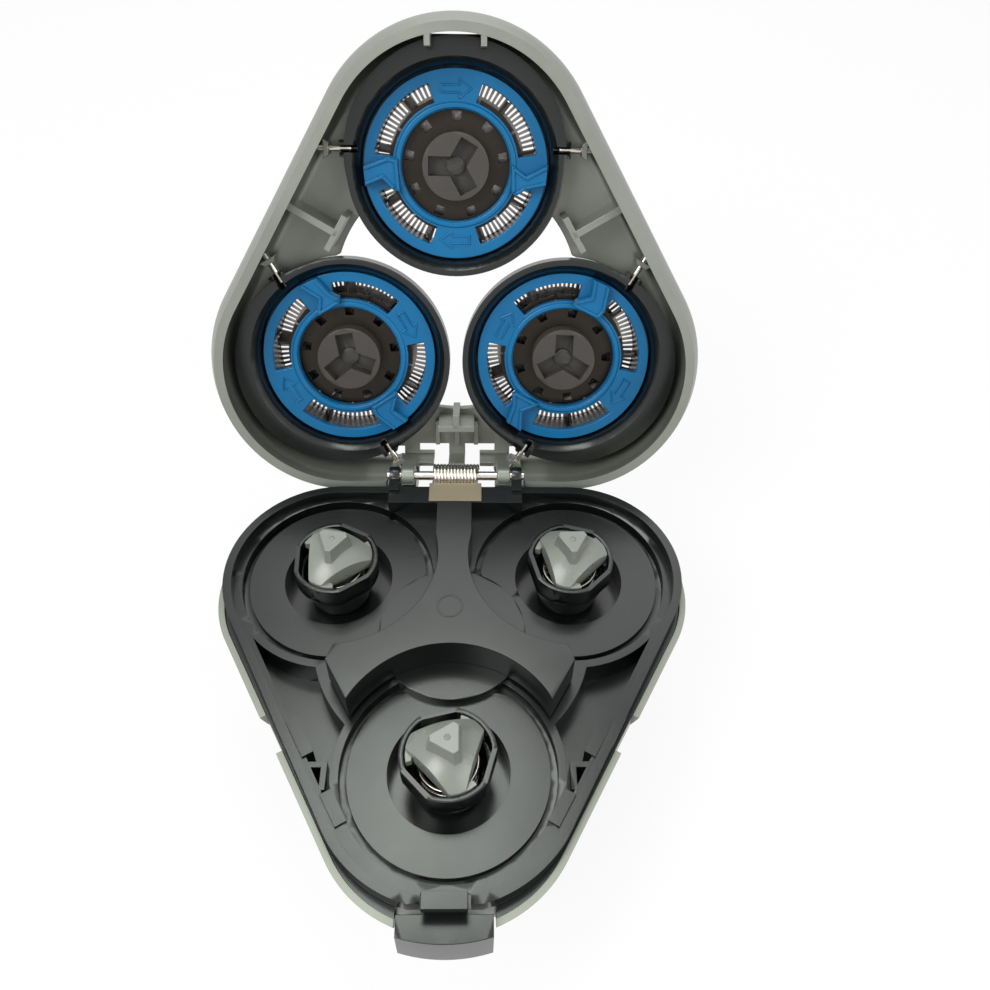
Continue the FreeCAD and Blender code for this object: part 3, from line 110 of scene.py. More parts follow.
def add(tree, kind, links=None, values=None, **settings):
    """Adds a node: values go into its sockets, and links join them to other nodes' outputs."""
    node = tree.nodes.new(kind)
    for name, setting in settings.items():
        setattr(node, name, setting)
    for name, value in (values or {}).items():
        node.inputs[name].default_value = value
    for name, source in (links or {}).items():
        tree.links.new(source, node.inputs[name])
    return node


def new_material(name):
    """An empty node material and its tree."""
    material = bpy.data.materials.new(name)
    material.use_nodes = True
    material.node_tree.nodes.clear()
    return material, material.node_tree


def per_mm(size):
    """Pattern scale for a feature of this many millimetres, on coordinates in metres."""
    return 1000.0 / size


print("mid grey in linear light:", [round(c, 3) for c in linear("#808080")])

# %% [markdown]
# The studio is plain: a pale floor under the object, an even white world and four soft lamps.
# The camera sees the floor and the world as white, through Light Path, while the floor still
# takes the object's shadow, and metal sees the same white in its reflections.

# %% Studio
def seen_directly(tree):
    """One where a ray comes from the camera, a reflection or a refraction, and zero elsewhere."""
    path = add(tree, "ShaderNodeLightPath")
    view = add(tree, "ShaderNodeMath", {0: path.outputs["Is Camera Ray"], 1: path.outputs["Is Glossy Ray"]},
               operation="MAXIMUM")
    both = add(tree, "ShaderNodeMath", {0: view.outputs[0], 1: path.outputs["Is Transmission Ray"]},
               operation="MAXIMUM")
    return both.outputs[0]


world = bpy.data.worlds.new("studio")
bpy.context.scene.world = world
world.use_nodes = True
world.node_tree.nodes.clear()
soft = add(world.node_tree, "ShaderNodeBackground", values={"Color": (1, 1, 1, 1), "Strength": 0.3})
plain = add(world.node_tree, "ShaderNodeBackground", values={"Color": (1, 1, 1, 1), "Strength": 1.0})
sky = add(world.node_tree, "ShaderNodeMixShader",
          {0: seen_directly(world.node_tree), 1: soft.outputs[0], 2: plain.outputs[0]})
add(world.node_tree, "ShaderNodeOutputWorld", {"Surface": sky.outputs[0]})

card, tree = new_material("white_card")
matt = add(tree, "ShaderNodeBsdfDiffuse", values={"Color": (*linear("#f2f2f2"), 1)})
glow = add(tree, "ShaderNodeEmission", values={"Color": (1, 1, 1, 1), "Strength": 1.0})
share = add(tree, "ShaderNodeMapRange", {"Value": seen_directly(tree)}, {"To Min": 0.1, "To Max": 0.9})
paper = add(tree, "ShaderNodeMixShader", {0: share.outputs[0], 1: matt.outputs[0], 2: glow.outputs[0]})
add(tree, "ShaderNodeOutputMaterial", {"Surface": paper.outputs[0]})

floor_z = cad_box[0][2]
bpy.ops.mesh.primitive_plane_add(size=3.0, location=(0, 0, floor_z - 0.00002))
floor = bpy.context.object
floor.name = "floor"
floor.data.materials.append(card)

# name, place and width in metres, power in watts, colour
LAMPS = (
    ("key", (-0.20, -0.16, 0.36), 0.22, 1.25, (1, 1, 1)),
    ("fill", (0.26, -0.20, 0.24), 0.26, 0.6, (1, 1, 1)),
    ("back", (0.02, 0.30, 0.30), 0.25, 0.3, (1, 1, 1)),
    ("sheen", (-0.03, 0.13, 0.43), 0.14, 0.4, (0.93, 1.0, 0.92)),
)
LAMP_TARGET = Vector((0, 0.01, 0.03))
for name, place, size, power, colour in LAMPS:
    lamp = bpy.data.lights.new(name, "AREA")
    lamp.size, lamp.energy, lamp.color = size, power, colour
    holder = bpy.data.objects.new(name, lamp)
    holder.location = place
    aim = LAMP_TARGET - holder.location
    holder.rotation_euler = aim.to_track_quat("-Z", "Y").to_euler()
    bpy.context.scene.collection.objects.link(holder)
bpy.context.scene.view_settings.view_transform = "Standard"
print("floor at", round(floor_z * 1000, 2), "mm, lamps:", [row[0] for row in LAMPS])

# %% [markdown]
# The casing, tray, rings and caps are injection-moulded plastic. A moulded surface isn't quite
# even: the steel mould was spark-eroded or polished, which leaves a fine grain, and handling gives
# faint changes in gloss. So each plastic takes its colour from the photo, a grain a fraction of a
# millimetre across for its bump, and a slow change in roughness over some millimetres.

# %% Moulded plastics
def grain(tree, size, depth, coordinates):
    """Bump from a fine noise: size is the grain in millimetres and depth its height."""
    noise = add(tree, "ShaderNodeTexNoise", {"Vector": coordinates},
                {"Scale": per_mm(size), "Detail": 3.0, "Roughness": 0.6})
    return add(tree, "ShaderNodeBump", {"Height": noise.outputs["Fac"]},
               {"Strength": 0.35, "Distance": depth * MM})


def moulded(name, colour, worn, roughness, grain_size=0.25, metallic=0.0, specular=0.5, coat=0.0):
    """Moulded plastic: a slow noise mixes its colour with a worn one and varies its roughness."""
    material, tree = new_material(name)
    place = add(tree, "ShaderNodeTexCoord")
    slow = add(tree, "ShaderNodeTexNoise", {"Vector": place.outputs["Object"]},
               {"Scale": per_mm(9.0), "Detail": 5.0, "Roughness": 0.62})
    blend = add(tree, "ShaderNodeMapRange", {"Value": slow.outputs["Fac"]},
                {"From Min": 0.35, "From Max": 0.75, "To Min": 0.0, "To Max": 1.0})
    paint = add(tree, "ShaderNodeMix", {"Factor": blend.outputs[0]}, data_type="RGBA")
    paint.inputs["A"].default_value = (*linear(colour), 1)
    paint.inputs["B"].default_value = (*linear(worn), 1)
    gloss = add(tree, "ShaderNodeMapRange", {"Value": slow.outputs["Fac"]},
                {"From Min": 0.3, "From Max": 0.7, "To Min": roughness * 0.9, "To Max": roughness * 1.12})
    bump = grain(tree, grain_size, 0.012, place.outputs["Object"])
    shader = add(tree, "ShaderNodeBsdfPrincipled",
                 {"Base Color": paint.outputs["Result"], "Roughness": gloss.outputs[0],
                  "Normal": bump.outputs[0]},
                 {"Metallic": metallic, "Specular IOR Level": specular, "Coat Weight": coat,
                  "Coat Roughness": 0.2})
    add(tree, "ShaderNodeOutputMaterial", {"Surface": shader.outputs[0]})
    return material


FINISH = {
    # ABS with a pewter lacquer: aluminium flakes under a clear coat
    "pewter_plastic": moulded("pewter_lacquered_abs", "#83867d", "#8c8f86", 0.38, 0.2, 0.5, 0.25, 0.08),
    # black ABS from a polished mould
    "black_plastic": moulded("black_abs", "#0b0f0e", "#101413", 0.24, 0.35, 0.0, 0.55),
    # polypropylene, which bends at the clips without breaking
    "blue_plastic": moulded("blue_polypropylene", "#036293", "#066da1", 0.3, 0.3, 0.0, 0.35),
    # acetal, which slides well: dark for the hubs, light grey for the tips, natural for the gears
    "grey_brown_plastic": moulded("grey_brown_pom", "#3f3c38", "#474440", 0.4, 0.3, 0.0, 0.35),
    "light_grey_plastic": moulded("light_grey_pom", "#80847c", "#898d85", 0.28, 0.3, 0.0, 0.5),
    "white_plastic": moulded("natural_acetal", "#d9d8d2", "#e4e3dd", 0.4, 0.3),
}
print("plastics:", sorted(FINISH))

# %% [markdown]
# The metal pieces are ground stainless caps, stamped blades, plated pins, screws and drawn wire,
# and one clip of nickel silver sheet. What tells metal from plastic is that its colour sits in the
# reflection, so the shader is fully metallic, and fine streaks in its roughness show how it was
# ground or drawn.

# %% Steels
def steel(name, colour, roughness, streak_size):
    """Steel whose roughness follows streaks of the given width in millimetres."""
    material, tree = new_material(name)
    place = add(tree, "ShaderNodeTexCoord")
    streaks = add(tree, "ShaderNodeTexNoise", {"Vector": place.outputs["Object"]},
                  {"Scale": per_mm(streak_size), "Detail": 4.0, "Roughness": 0.7})
    gloss = add(tree, "ShaderNodeMapRange", {"Value": streaks.outputs["Fac"]},
                {"From Min": 0.3, "From Max": 0.7, "To Min": roughness * 0.7, "To Max": roughness * 1.4})
    bump = add(tree, "ShaderNodeBump", {"Height": streaks.outputs["Fac"]},
               {"Strength": 0.15, "Distance": 0.005 * MM})
    shader = add(tree, "ShaderNodeBsdfPrincipled",
                 {"Roughness": gloss.outputs[0], "Normal": bump.outputs[0]},
                 {"Base Color": (*linear(colour), 1), "Metallic": 1.0})
    add(tree, "ShaderNodeOutputMaterial", {"Surface": shader.outputs[0]})
    return material


# ground caps and tempered blades, with their steel colours darkened as painted shade: a little for the
# caps' shaded insides, and to a dark brown-grey for the blades in the shade under the blue rings; and drawn
# wire with a nickel plating
FINISH["guard_steel"] = steel("ground_stainless_steel_with_painted_shade", "#8f8d8a", 0.3, 0.3)
FINISH["blade_steel"] = steel("tempered_blade_steel_with_painted_shade", "#35312d", 0.38, 0.4)
FINISH["plated_steel"] = steel("nickel_plated_spring_steel", "#cfc9bf", 0.22, 0.5)
# the clip over the hinge's spring, pressed from brushed nickel silver sheet
SHEET = steel("brushed_nickel_silver_sheet", "#908673", 0.5, 0.2)
print("steels:", [name for name in FINISH if name.endswith("steel")], "and", SHEET.name)

# %% [markdown]
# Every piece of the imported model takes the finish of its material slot. Its facets are welded and
# shaded smooth where they meet at a small angle, and its sharp edges get a narrow bevel, because
# no moulded edge is perfectly sharp and the bevel is what catches the light.

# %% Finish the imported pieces
SMOOTH_BELOW, BEVEL_ABOVE = math.radians(30), math.radians(38)
WELD_MM, EDGE_MM = 0.001, 0.07
SLOT_OF = {row["node"]: row["material_slot"] for row in frame["record"]["subparts"]}
for name, node in frame["nodes"].items():
    node.data.materials.clear()
    node.data.materials.append(FINISH[SLOT_OF[name]])
    node.data.set_sharp_from_angle(angle=SMOOTH_BELOW)
    weld = node.modifiers.new("weld", "WELD")
    weld.merge_threshold = WELD_MM * MM
    bevel = node.modifiers.new("edge", "BEVEL")
    bevel.limit_method, bevel.angle_limit = "ANGLE", BEVEL_ABOVE
    bevel.width, bevel.segments = EDGE_MM * MM, 2
    bevel.harden_normals = True
    node.modifiers.new("normals", "WEIGHTED_NORMAL").keep_sharp = True
frame["nodes"]["spring_clip"].data.materials[0] = SHEET
print(len(frame["nodes"]), "pieces finished")

# %% [markdown]
# The heads and the casing need finer surfaces than flat facets give. Each new piece is a surface
# worked out point by point with numpy: a profile turned round an axis, a flat ring pierced by a
# pattern, a wire that follows a helix, or a wall that follows the lid's outline. A few helpers
# hold the arithmetic, in millimetres, and one turns the points into a piece in metres.

# %% Surface helpers
SPACING = 28.0
REACH = SPACING / math.sqrt(3.0)
HINGE_Y, HINGE_Z, OPEN = 22.25, 22.7, 116.7
NEW_EDGE_ANGLE = math.radians(32)
# number, direction of the head's centre and turn of its cutter, in degrees
HEADS = ((1, 270.0, 61.0), (2, 30.0, 31.5), (3, 150.0, 20.5))


def joined(*forms):
    """Several forms as one: a form is a list of points and the faces between them."""
    points, faces = [], []
    for part, rows in forms:
        faces += [tuple(i + len(points) for i in face) for face in rows]
        points += [tuple(p) for p in part]
    return points, faces


def closed_grid(points):
    """Faces of a grid p[i, j] that closes in both directions, like a ring-shaped surface."""
    n, m = points.shape[:2]
    faces = [(i * m + j, (i + 1) % n * m + j, (i + 1) % n * m + (j + 1) % m, i * m + (j + 1) % m)
             for i in range(n) for j in range(m)]
    return points.reshape(-1, 3), faces


def turned(profile, steps=144):
    """p(a, k) = (r_k cos a, r_k sin a, z_k): a closed profile turned round the Z axis."""
    a = np.arange(steps) * 2 * np.pi / steps
    r, z = np.array(profile, float).T
    return closed_grid(np.stack([np.outer(np.cos(a), r), np.outer(np.sin(a), r),
                                 np.outer(np.ones(steps), z)], axis=-1))


def pierced(radii, angles, low, high, solid):
    """Flat ring of cells between radii and angles (degrees); a cell exists where solid(i, j)."""
    n, m = len(radii) - 1, len(angles)
    a, r = np.meshgrid(np.radians(angles), radii)
    ground = np.stack([r * np.cos(a), r * np.sin(a), np.full(r.shape, low)], axis=-1).reshape(-1, 3)
    points = np.vstack([ground, ground + (0, 0, high - low)])
    top, there = len(ground), {(i, j) for i in range(n) for j in range(m) if solid(i, j)}
    faces = []
    for i, j in there:
        k = (j + 1) % m
        a0, a1, b0, b1 = i * m + j, i * m + k, (i + 1) * m + j, (i + 1) * m + k
        faces += [(a0, a1, b1, b0), (a0 + top, b0 + top, b1 + top, a1 + top)]
        sides = (((i - 1, j), a0, a1), ((i + 1, j), b1, b0), ((i, (j - 1) % m), b0, a0), ((i, k), a1, b1))
        faces += [(q, p, p + top, q + top) for beside, p, q in sides if beside not in there]
    return points, faces


def slab(corners, low, high):
    """Upright slab over a polygon, the same outline at two levels."""
    n = len(corners)
    points = [(x, y, low) for x, y in corners] + [(x, y, high) for x, y in corners]
    faces = [tuple(range(n))[::-1], tuple(range(n, 2 * n))]
    return points, faces + [(i, (i + 1) % n, (i + 1) % n + n, i + n) for i in range(n)]


def block(x, y, z):
    """Small rib or wall between two corners, each given as a pair along X, Y and Z."""
    return slab([(x[0], y[0]), (x[1], y[0]), (x[1], y[1]), (x[0], y[1])], z[0], z[1])


def beads(path, width, low, high):
    """Narrow raised lines along a path of points, one short slab for each step."""
    forms = []
    for p, q in zip(np.array(path[:-1], float), np.array(path[1:], float)):
        along = (q - p) / np.hypot(*(q - p))
        side = np.array((-along[1], along[0])) * width / 2
        p, q = p - along * width / 2, q + along * width / 2
        forms.append(slab([tuple(v) for v in (p - side, q - side, q + side, p + side)], low, high))
    return joined(*forms)


def wound(radius, wire, turns, length, around=12, steps=28):
    """Round wire on a helix: centre c(t) = (R cos t, R sin t, h t), section w/2 wide across it."""
    n = int(turns * steps) + 1
    t = np.arange(n) * 2 * np.pi / steps
    climb = (length - wire) / (turns * 2 * np.pi)
    centre = np.stack([radius * np.cos(t), radius * np.sin(t), wire / 2 + climb * t], axis=-1)
    out = np.stack([np.cos(t), np.sin(t), 0 * t], axis=-1)
    along = np.stack([-radius * np.sin(t), radius * np.cos(t), climb + 0 * t], axis=-1)
    along /= np.linalg.norm(along, axis=1)[:, None]
    up = np.cross(along, out)
    b = np.arange(around) * 2 * np.pi / around
    points = (centre[:, None] + wire / 2 * (np.cos(b)[None, :, None] * out[:, None]
                                            + np.sin(b)[None, :, None] * up[:, None])).reshape(-1, 3)
    faces = [(i * around + j, i * around + (j + 1) % around, (i + 1) * around + (j + 1) % around,
              (i + 1) * around + j) for i in range(n - 1) for j in range(around)]
    faces += [tuple(range(around)), tuple((n - 1) * around + j for j in range(around))]
    return points, faces


def moved(form, matrix):
    """A form moved by a 4 x 4 matrix in millimetres."""
    points = np.array(form[0], float)
    flat = np.array(matrix)
    return points @ flat[:3, :3].T + flat[:3, 3], form[1]


def at_head(angle, turn=0.0, lid=True):
    """Matrix of a head drawn on the axis with its outer side towards -Y, in the lid or the base."""
    out = math.radians(angle)
    place = Matrix.Translation((REACH * math.cos(out), REACH * math.sin(out), 0))
    place = place @ Matrix.Rotation(math.radians(angle - 270.0 + turn), 4, "Z")
    return OPEN_LID @ place if lid else place


hinge = Matrix.Translation((0, HINGE_Y, HINGE_Z))
OPEN_LID = hinge @ Matrix.Rotation(math.radians(-OPEN), 4, "X") @ hinge.inverted()


def as_mesh(name, form, bevel=0.0):
    """A mesh object from a form: its faces look outwards, and its edges may get a narrow bevel."""
    mesh = bpy.data.meshes.new(name)
    mesh.from_pydata([tuple(p) for p in np.array(form[0], float) * MM], [], form[1])
    work = bmesh.new()
    work.from_mesh(mesh)
    bmesh.ops.recalc_face_normals(work, faces=work.faces)
    work.to_mesh(mesh)
    work.free()
    mesh.polygons.foreach_set("use_smooth", [True] * len(mesh.polygons))
    mesh.set_sharp_from_angle(angle=NEW_EDGE_ANGLE)
    thing = bpy.data.objects.new(name, mesh)
    bpy.context.scene.collection.objects.link(thing)
    if bevel:
        edge = thing.modifiers.new("edge", "BEVEL")
        edge.limit_method, edge.angle_limit = "ANGLE", NEW_EDGE_ANGLE
        edge.width, edge.segments = bevel * MM, 3
        edge.harden_normals = True
    return thing


def form_of(thing):
    """The points and faces of a mesh object as a form."""
    return [tuple(v.co / MM) for v in thing.data.vertices], [tuple(f.vertices) for f in thing.data.polygons]


def new_piece(name, form, body, *nodes, bevel=0.05):
    """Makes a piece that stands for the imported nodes; it rides with a body, if one is named."""
    thing = as_mesh(name, form, bevel)
    finish = SLOT_OF[nodes[0]]
    thing.data.materials.append(FINISH[finish])
    if isinstance(body, str):
        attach(thing, body)
    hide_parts(*nodes)
    return thing


def spring(name, coil, place, ends, node):
    """A coil (radius, wire, turns, length) up Z, placed and baked where it stands; the two bodies at its
    ends are handed on, but a pair attaches it to neither.
    """
    thing = new_piece(name, moved(wound(*coil), place), ends, node, bevel=0.0)
    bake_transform(thing)


def level(w):
    """A height over the hinge line as a height in the frame, with the lid shut."""
    return HINGE_Z + w


print("one head's place:", [round(v, 2) for v in at_head(270.0).translation])

# %% [markdown]
# A guard is a stainless cap, drawn from sheet, ground thin on top and cut with about a hundred
# radial slots: hair passes in, skin doesn't. From inside, daylight shows through the slots, which
# is what makes the white ticks in the blue ring's windows. So its track is a pierced ring with 96
# slots, and the wall, the flange and the dished middle are one turned profile each.

# %% Guards
SLOTS = 96


def guard_form():
    """A turned wall with a flange, a turned dished middle, and a pierced track between them."""
    step = 360.0 / SLOTS
    ends = [k * step + s * step * 0.22 for k in range(SLOTS) for s in (-1, 1)]
    track = pierced([7.1, 7.6, 8.55, 9.9, 10.1], ends, level(11.1), level(11.39),
                    lambda i, j: i in (0, 1, 3) or j % 2 == 1)
    wall = turned([(9.95, level(7.32)), (11.05, level(7.32)), (11.1, level(7.42)), (11.05, level(7.58)),
                   (10.35, level(7.6)), (10.34, level(11.1)), (10.2, level(11.34)), (9.95, level(11.4)),
                   (9.92, level(11.1)), (10.04, level(10.9)), (10.05, level(7.6)), (9.95, level(7.5))])
    dish = turned([(0.86, level(10.9)), (6.5, level(10.9)), (6.9, level(11.36)), (7.2, level(11.4)),
                   (7.25, level(11.12)), (7.0, level(11.1)), (6.65, level(10.6)), (1.6, level(10.6)),
                   (1.55, level(9.5)), (0.86, level(9.5))])
    return joined(track, wall, dish)


for index, angle, _ in HEADS:
    new_piece("guard_cap_%d" % index, moved(guard_form(), at_head(angle)), "head_%d" % index,
              "guard_%d" % index, bevel=0.0)
print("guards:", len(HEADS), "with", SLOTS, "slots each")

# %% [markdown]
# The blue ring snaps into the pivot ring and holds the guard in it. It is moulded in
# polypropylene, which bends at its two clips without breaking. It has four windows, two thick
# grips shaped like a chevron with ridges along them, and an arrow in outline on each of the other
# bridges. The ring is a pierced plate, the grips are slabs, and the ridges and arrows raised lines.

# %% Retaining rings
def retainer_form():
    """Pierced plate with four windows, two ridged chevron grips and two arrows in outline."""
    windows = [(8, 71), (109, 172), (198, 252), (288, 342)]
    ends = sorted({a for window in windows for a in window} | set(range(0, 360, 3)))

    def inside(j):
        middle = (ends[j] + ends[(j + 1) % len(ends)] + (360 if j == len(ends) - 1 else 0)) / 2
        return any(a < middle < b for a, b in windows)

    under, top = level(6.16), level(7.29)
    plate = pierced([6.63, 7.1, 7.7, 9.95, 10.6, 11.22], [-a for a in ends], under, top,
                    lambda i, j: i != 2 or not inside(j))
    rim = turned([(6.65, level(6.3)), (6.8, level(5.95)), (7.3, level(5.95)), (7.5, level(6.2)),
                  (7.4, level(6.6)), (6.7, level(6.6))])
    left = [(-11.2, 0.0), (-8.3, -1.1), (-7.0, -0.9), (-6.75, 3.0), (-7.6, 2.8), (-8.9, 1.5), (-11.0, 2.4)]
    right = [(11.2, -0.3), (8.6, 1.0), (6.75, -0.4), (6.8, 3.0), (7.4, 3.4), (8.5, 2.7), (11.0, 2.2)]
    grips = [slab(corners, level(4.96), level(6.4)) for corners in (left, right)]
    ridges = [[(-10.9, 0.2), (-8.2, -0.8), (-7.2, -0.6), (-7.0, 2.6)],
              [(-10.8, 2.0), (-8.8, 1.2), (-7.6, 2.4)],
              [(10.9, 0.1), (8.6, 1.3), (7.0, 0.1), (7.05, 2.7)],
              [(10.8, 1.9), (8.5, 2.4), (7.5, 3.0)]]
    grips += [beads(path, 0.4, level(4.66), level(5.0)) for path in ridges]
    arrow = [(-1.7, -0.45), (0.5, -0.45), (0.5, -1.05), (1.9, 0.0),
             (0.5, 1.05), (0.5, 0.45), (-1.7, 0.45), (-1.7, -0.45)]
    arrows = [beads([(-side * x, 8.9 * side + y) for x, y in arrow], 0.24, level(6.0), level(6.3))
              for side in (-1, 1)]
    return joined(plate, rim, *grips, *arrows)


for index, angle, _ in HEADS:
    new_piece("blue_ring_%d" % index, moved(retainer_form(), at_head(angle)), "head_%d" % index,
              "retaining_ring_%d" % index, bevel=0.14)
print("blue rings:", len(HEADS))

# %% [markdown]
# Each cutter is stamped from one sheet: nine fingers are bent up into blades, which leaves a window
# beside each of them, and fine slits let the rim spring a little. A plastic hub is moulded into the
# middle, with a three-armed socket for the coupling.

# %% Cutters
BLADES = 9
BLADE_STEP = 360.0 / BLADES


def blade_form():
    """Pierced flange with nine windows and nine slits, and nine slanted fingers."""
    seat, tip = level(7.7), level(11.0)
    ends, kinds = [], []
    for k in range(BLADES):
        for start, kind in ((-5.6, "window"), (5.6, "rib"), (18.8, "slit"), (21.2, "rib")):
            ends.append(k * BLADE_STEP + start)
            kinds.append(kind)

    def solid(i, j):
        return not (i == 1 and kinds[j] == "window") and not (i in (3, 4) and kinds[j] == "slit")

    flange = pierced([4.0, 5.3, 6.4, 6.7, 7.6, 8.2], ends, seat, seat + 0.3, solid)
    fingers = []
    for k in range(BLADES):
        a = math.radians(k * BLADE_STEP - 90.0 + 8.0)
        out, side = np.array((math.cos(a), math.sin(a))), np.array((-math.sin(a), math.cos(a)))
        foot = [out * r + side * s for r, s in ((7.4, 0.0), (9.75, 0.0), (9.75, 0.36), (7.4, 0.36))]
        head = [p + side * 0.5 for p in foot]
        points = [(x, y, seat + 0.1) for x, y in foot] + [(x, y, tip) for x, y in head]
        fingers.append((points, slab(foot, 0, 1)[1]))
    return joined(flange, *fingers)


for index, angle, turn in HEADS:
    place = at_head(angle, turn - (angle - 270.0) + 90.0)
    new_piece("cutter_blades_%d" % index, moved(blade_form(), place), "cutter_%d" % index,
              "blade_ring_%d" % index, bevel=0.04)
print("blade rings:", len(HEADS), "with", BLADES, "blades each")

# %% [markdown]
# The springs are wound from round drawn wire on a mandrel. The hinge spring throws the lid open,
# three small ones keep the couplings pressed into the cutters, and one returns the release button.
# Each is one helix with a round section. A spring joins two bodies, but here each coil is placed
# once, where the model stands, and follows neither of them.

# %% Springs
# radius of the helix, thickness of the wire, turns and length, in millimetres
HINGE_COIL, TIP_COIL, BUTTON_COIL = (1.36, 0.44, 13.5, 6.2), (3.1, 0.44, 4.5, 5.65), (0.9, 0.25, 3.0, 2.3)
CUP_SEAT, BUTTON_SEAT = 17.8, (0, -30.57, 17.8)
TIP_CORNER, NOSE_TURN = 30.0, 17.0


def coupling(angle, turn):
    """Place of a coupling drawn with a corner of its tip towards 30 degrees and its nose turned on."""
    return at_head(angle, 270.0 - angle + turn - NOSE_TURN - TIP_CORNER, lid=False)


across = Matrix.Translation((-3.1, HINGE_Y, HINGE_Z)) @ Matrix.Rotation(math.radians(90.0), 4, "Y")
spring("hinge_coil", HINGE_COIL, across, ("base", "lid"), "hinge_spring")
for index, angle, turn in HEADS:
    place = coupling(angle, turn) @ Matrix.Translation((0, 0, CUP_SEAT))
    spring("tip_coil_%d" % index, TIP_COIL, place, ("spindle_%d" % index, "tip_%d" % index),
           "tip_spring_%d" % index)
behind = Matrix.Translation(BUTTON_SEAT) @ Matrix.Rotation(math.radians(-90.0), 4, "X")
spring("button_coil", BUTTON_COIL, behind, ("release_button", "base"), "button_spring")
print("springs:", len(HEADS) + 2)

# %% [markdown]
# The coupling's tip is a small moulding in light grey acetal: a three-sided cap, domed so that it
# slides into the cutter's socket, a blunt three-sided nose on it, and three hooks that keep it in
# its cup. The cap's outline is rho(a) = min(s / cos d, R), where d is the angle from the nearest
# flat side, and its dome falls with the square of the distance from the axis.

# %% Coupling tips
TIP_REACH, TIP_SIDE, TIP_LOW, TIP_TOP, TIP_DOME = 4.39, 2.9, 23.45, 24.65, 1.9


def cap_form(steps=120):
    """p(a, k): the dome along f rho(a), down its side, and in to the stem with its bore."""
    rows = []
    for k in range(steps):
        a = k * 2 * math.pi / steps
        d = (math.degrees(a) - 90.0 + 60.0) % 120.0 - 60.0
        rho = min(TIP_SIDE / math.cos(math.radians(d)), TIP_REACH)
        reach = [0.8 + (rho - 0.8) * f / 8 for f in range(9)]
        profile = [(r, TIP_TOP + TIP_DOME * (1 - (r / TIP_REACH) ** 2)) for r in reach]
        profile += [(rho, TIP_LOW), (2.4, TIP_LOW - 0.01), (2.4, TIP_LOW - 1.8), (0.8, TIP_LOW - 1.8)]
        rows.append([(r * math.cos(a), r * math.sin(a), z) for r, z in profile])
    return closed_grid(np.array(rows))


def tip_form():
    """The cap, its nose with a dot on the end, and a hook under each corner, a little turned."""
    corners = [TIP_CORNER + third for third in (0.0, 120.0, 240.0)]
    turns = [math.radians(corner + NOSE_TURN + side) for corner in corners for side in (-10, 10)]
    foot, end = ([(r * math.cos(a), r * math.sin(a), z) for a in turns]
                 for r, z in ((2.3, 25.6), (1.8, 28.1)))
    faces = slab([(x, y) for x, y, z in foot], 0, 1)[1]
    dot = turned([(0.02, 28.0), (0.36, 28.05), (0.3, 28.2), (0.02, 28.26)], 24)
    hooks = []
    for corner in corners:
        arc = [(s, -math.sqrt(TIP_REACH ** 2 - s * s)) for s in (-1.5, -0.75, 0.0, 0.75, 1.5)]
        hook = slab(arc + [(1.25, -3.55), (-1.25, -3.55)], TIP_LOW, TIP_TOP - 0.15)
        hooks.append(moved(hook, Matrix.Rotation(math.radians(corner + 90.0 + 9.0), 4, "Z")))
    return joined(cap_form(), (foot + end, faces), dot, *hooks)


for index, angle, turn in HEADS:
    new_piece("tip_cap_%d" % index, moved(tip_form(), coupling(angle, turn)), "tip_%d" % index,
              "coupling_tip_%d" % index, bevel=0.14)
print("coupling tips:", len(HEADS))

# %% [markdown]
# The lid is one moulding: a wall that swells and then turns in, a flat land with three joined
# openings, and inside it the ribs, the pin blocks and the hinge knuckles. Its wall is worked out
# from the outline of the three head centres: C(u) runs round them, N(u) points outwards, and the
# wall's profile gives the distance t and the height w, so p = C + t N at that height. The land
# ends where the nearest opening begins, which a small formula finds along each side.

# %% Lid wall
def outline_frame(arc_steps=48, side_steps=56):
    """C(u), N(u) and the place s along a side, for the outline round the three head centres."""
    centres, normals, along = [], [], []
    for k, angle in enumerate((270.0, 30.0, 150.0)):
        here = REACH * np.array((math.cos(math.radians(angle)), math.sin(math.radians(angle))))
        after = math.radians(angle + 120.0)
        there = REACH * np.array((math.cos(after), math.sin(after)))
        for a in np.linspace(angle - 60.0, angle + 60.0, arc_steps, endpoint=False):
            centres.append(here)
            normals.append((math.cos(math.radians(a)), math.sin(math.radians(a))))
            along.append(None)
        for f in np.linspace(0.0, 1.0, side_steps, endpoint=False):
            centres.append(here + (there - here) * f)
            normals.append((math.cos(math.radians(angle + 60.0)), math.sin(math.radians(angle + 60.0))))
            along.append((f - 0.5) * SPACING)
    return np.array(centres), np.array(normals), along


def opening_edge(s, opening=13.0, middle=15.7):
    """Where the land ends, in mm outside the line of head centres: a head's opening or the middle."""
    if s is None:
        return opening
    head = opening ** 2 - (SPACING / 2 - abs(s)) ** 2
    return max(math.sqrt(max(head, 0.0)), math.sqrt(middle ** 2 - s ** 2) - REACH / 2.0)


def smooth_path(corners, steps=6):
    """Catmull-Rom curve through corners: it passes through each and turns evenly between them."""
    p = np.array([corners[0]] + list(corners) + [corners[-1]], float)
    rows = []
    for i in range(1, len(p) - 2):
        for t in np.arange(steps) / steps:
            rows.append(0.5 * (2 * p[i] + (p[i + 1] - p[i - 1]) * t
                               + (2 * p[i - 1] - 5 * p[i] + 4 * p[i + 1] - p[i + 2]) * t ** 2
                               + (3 * p[i] - p[i - 1] - 3 * p[i + 1] + p[i + 2]) * t ** 3))
    return rows + [p[-2]]


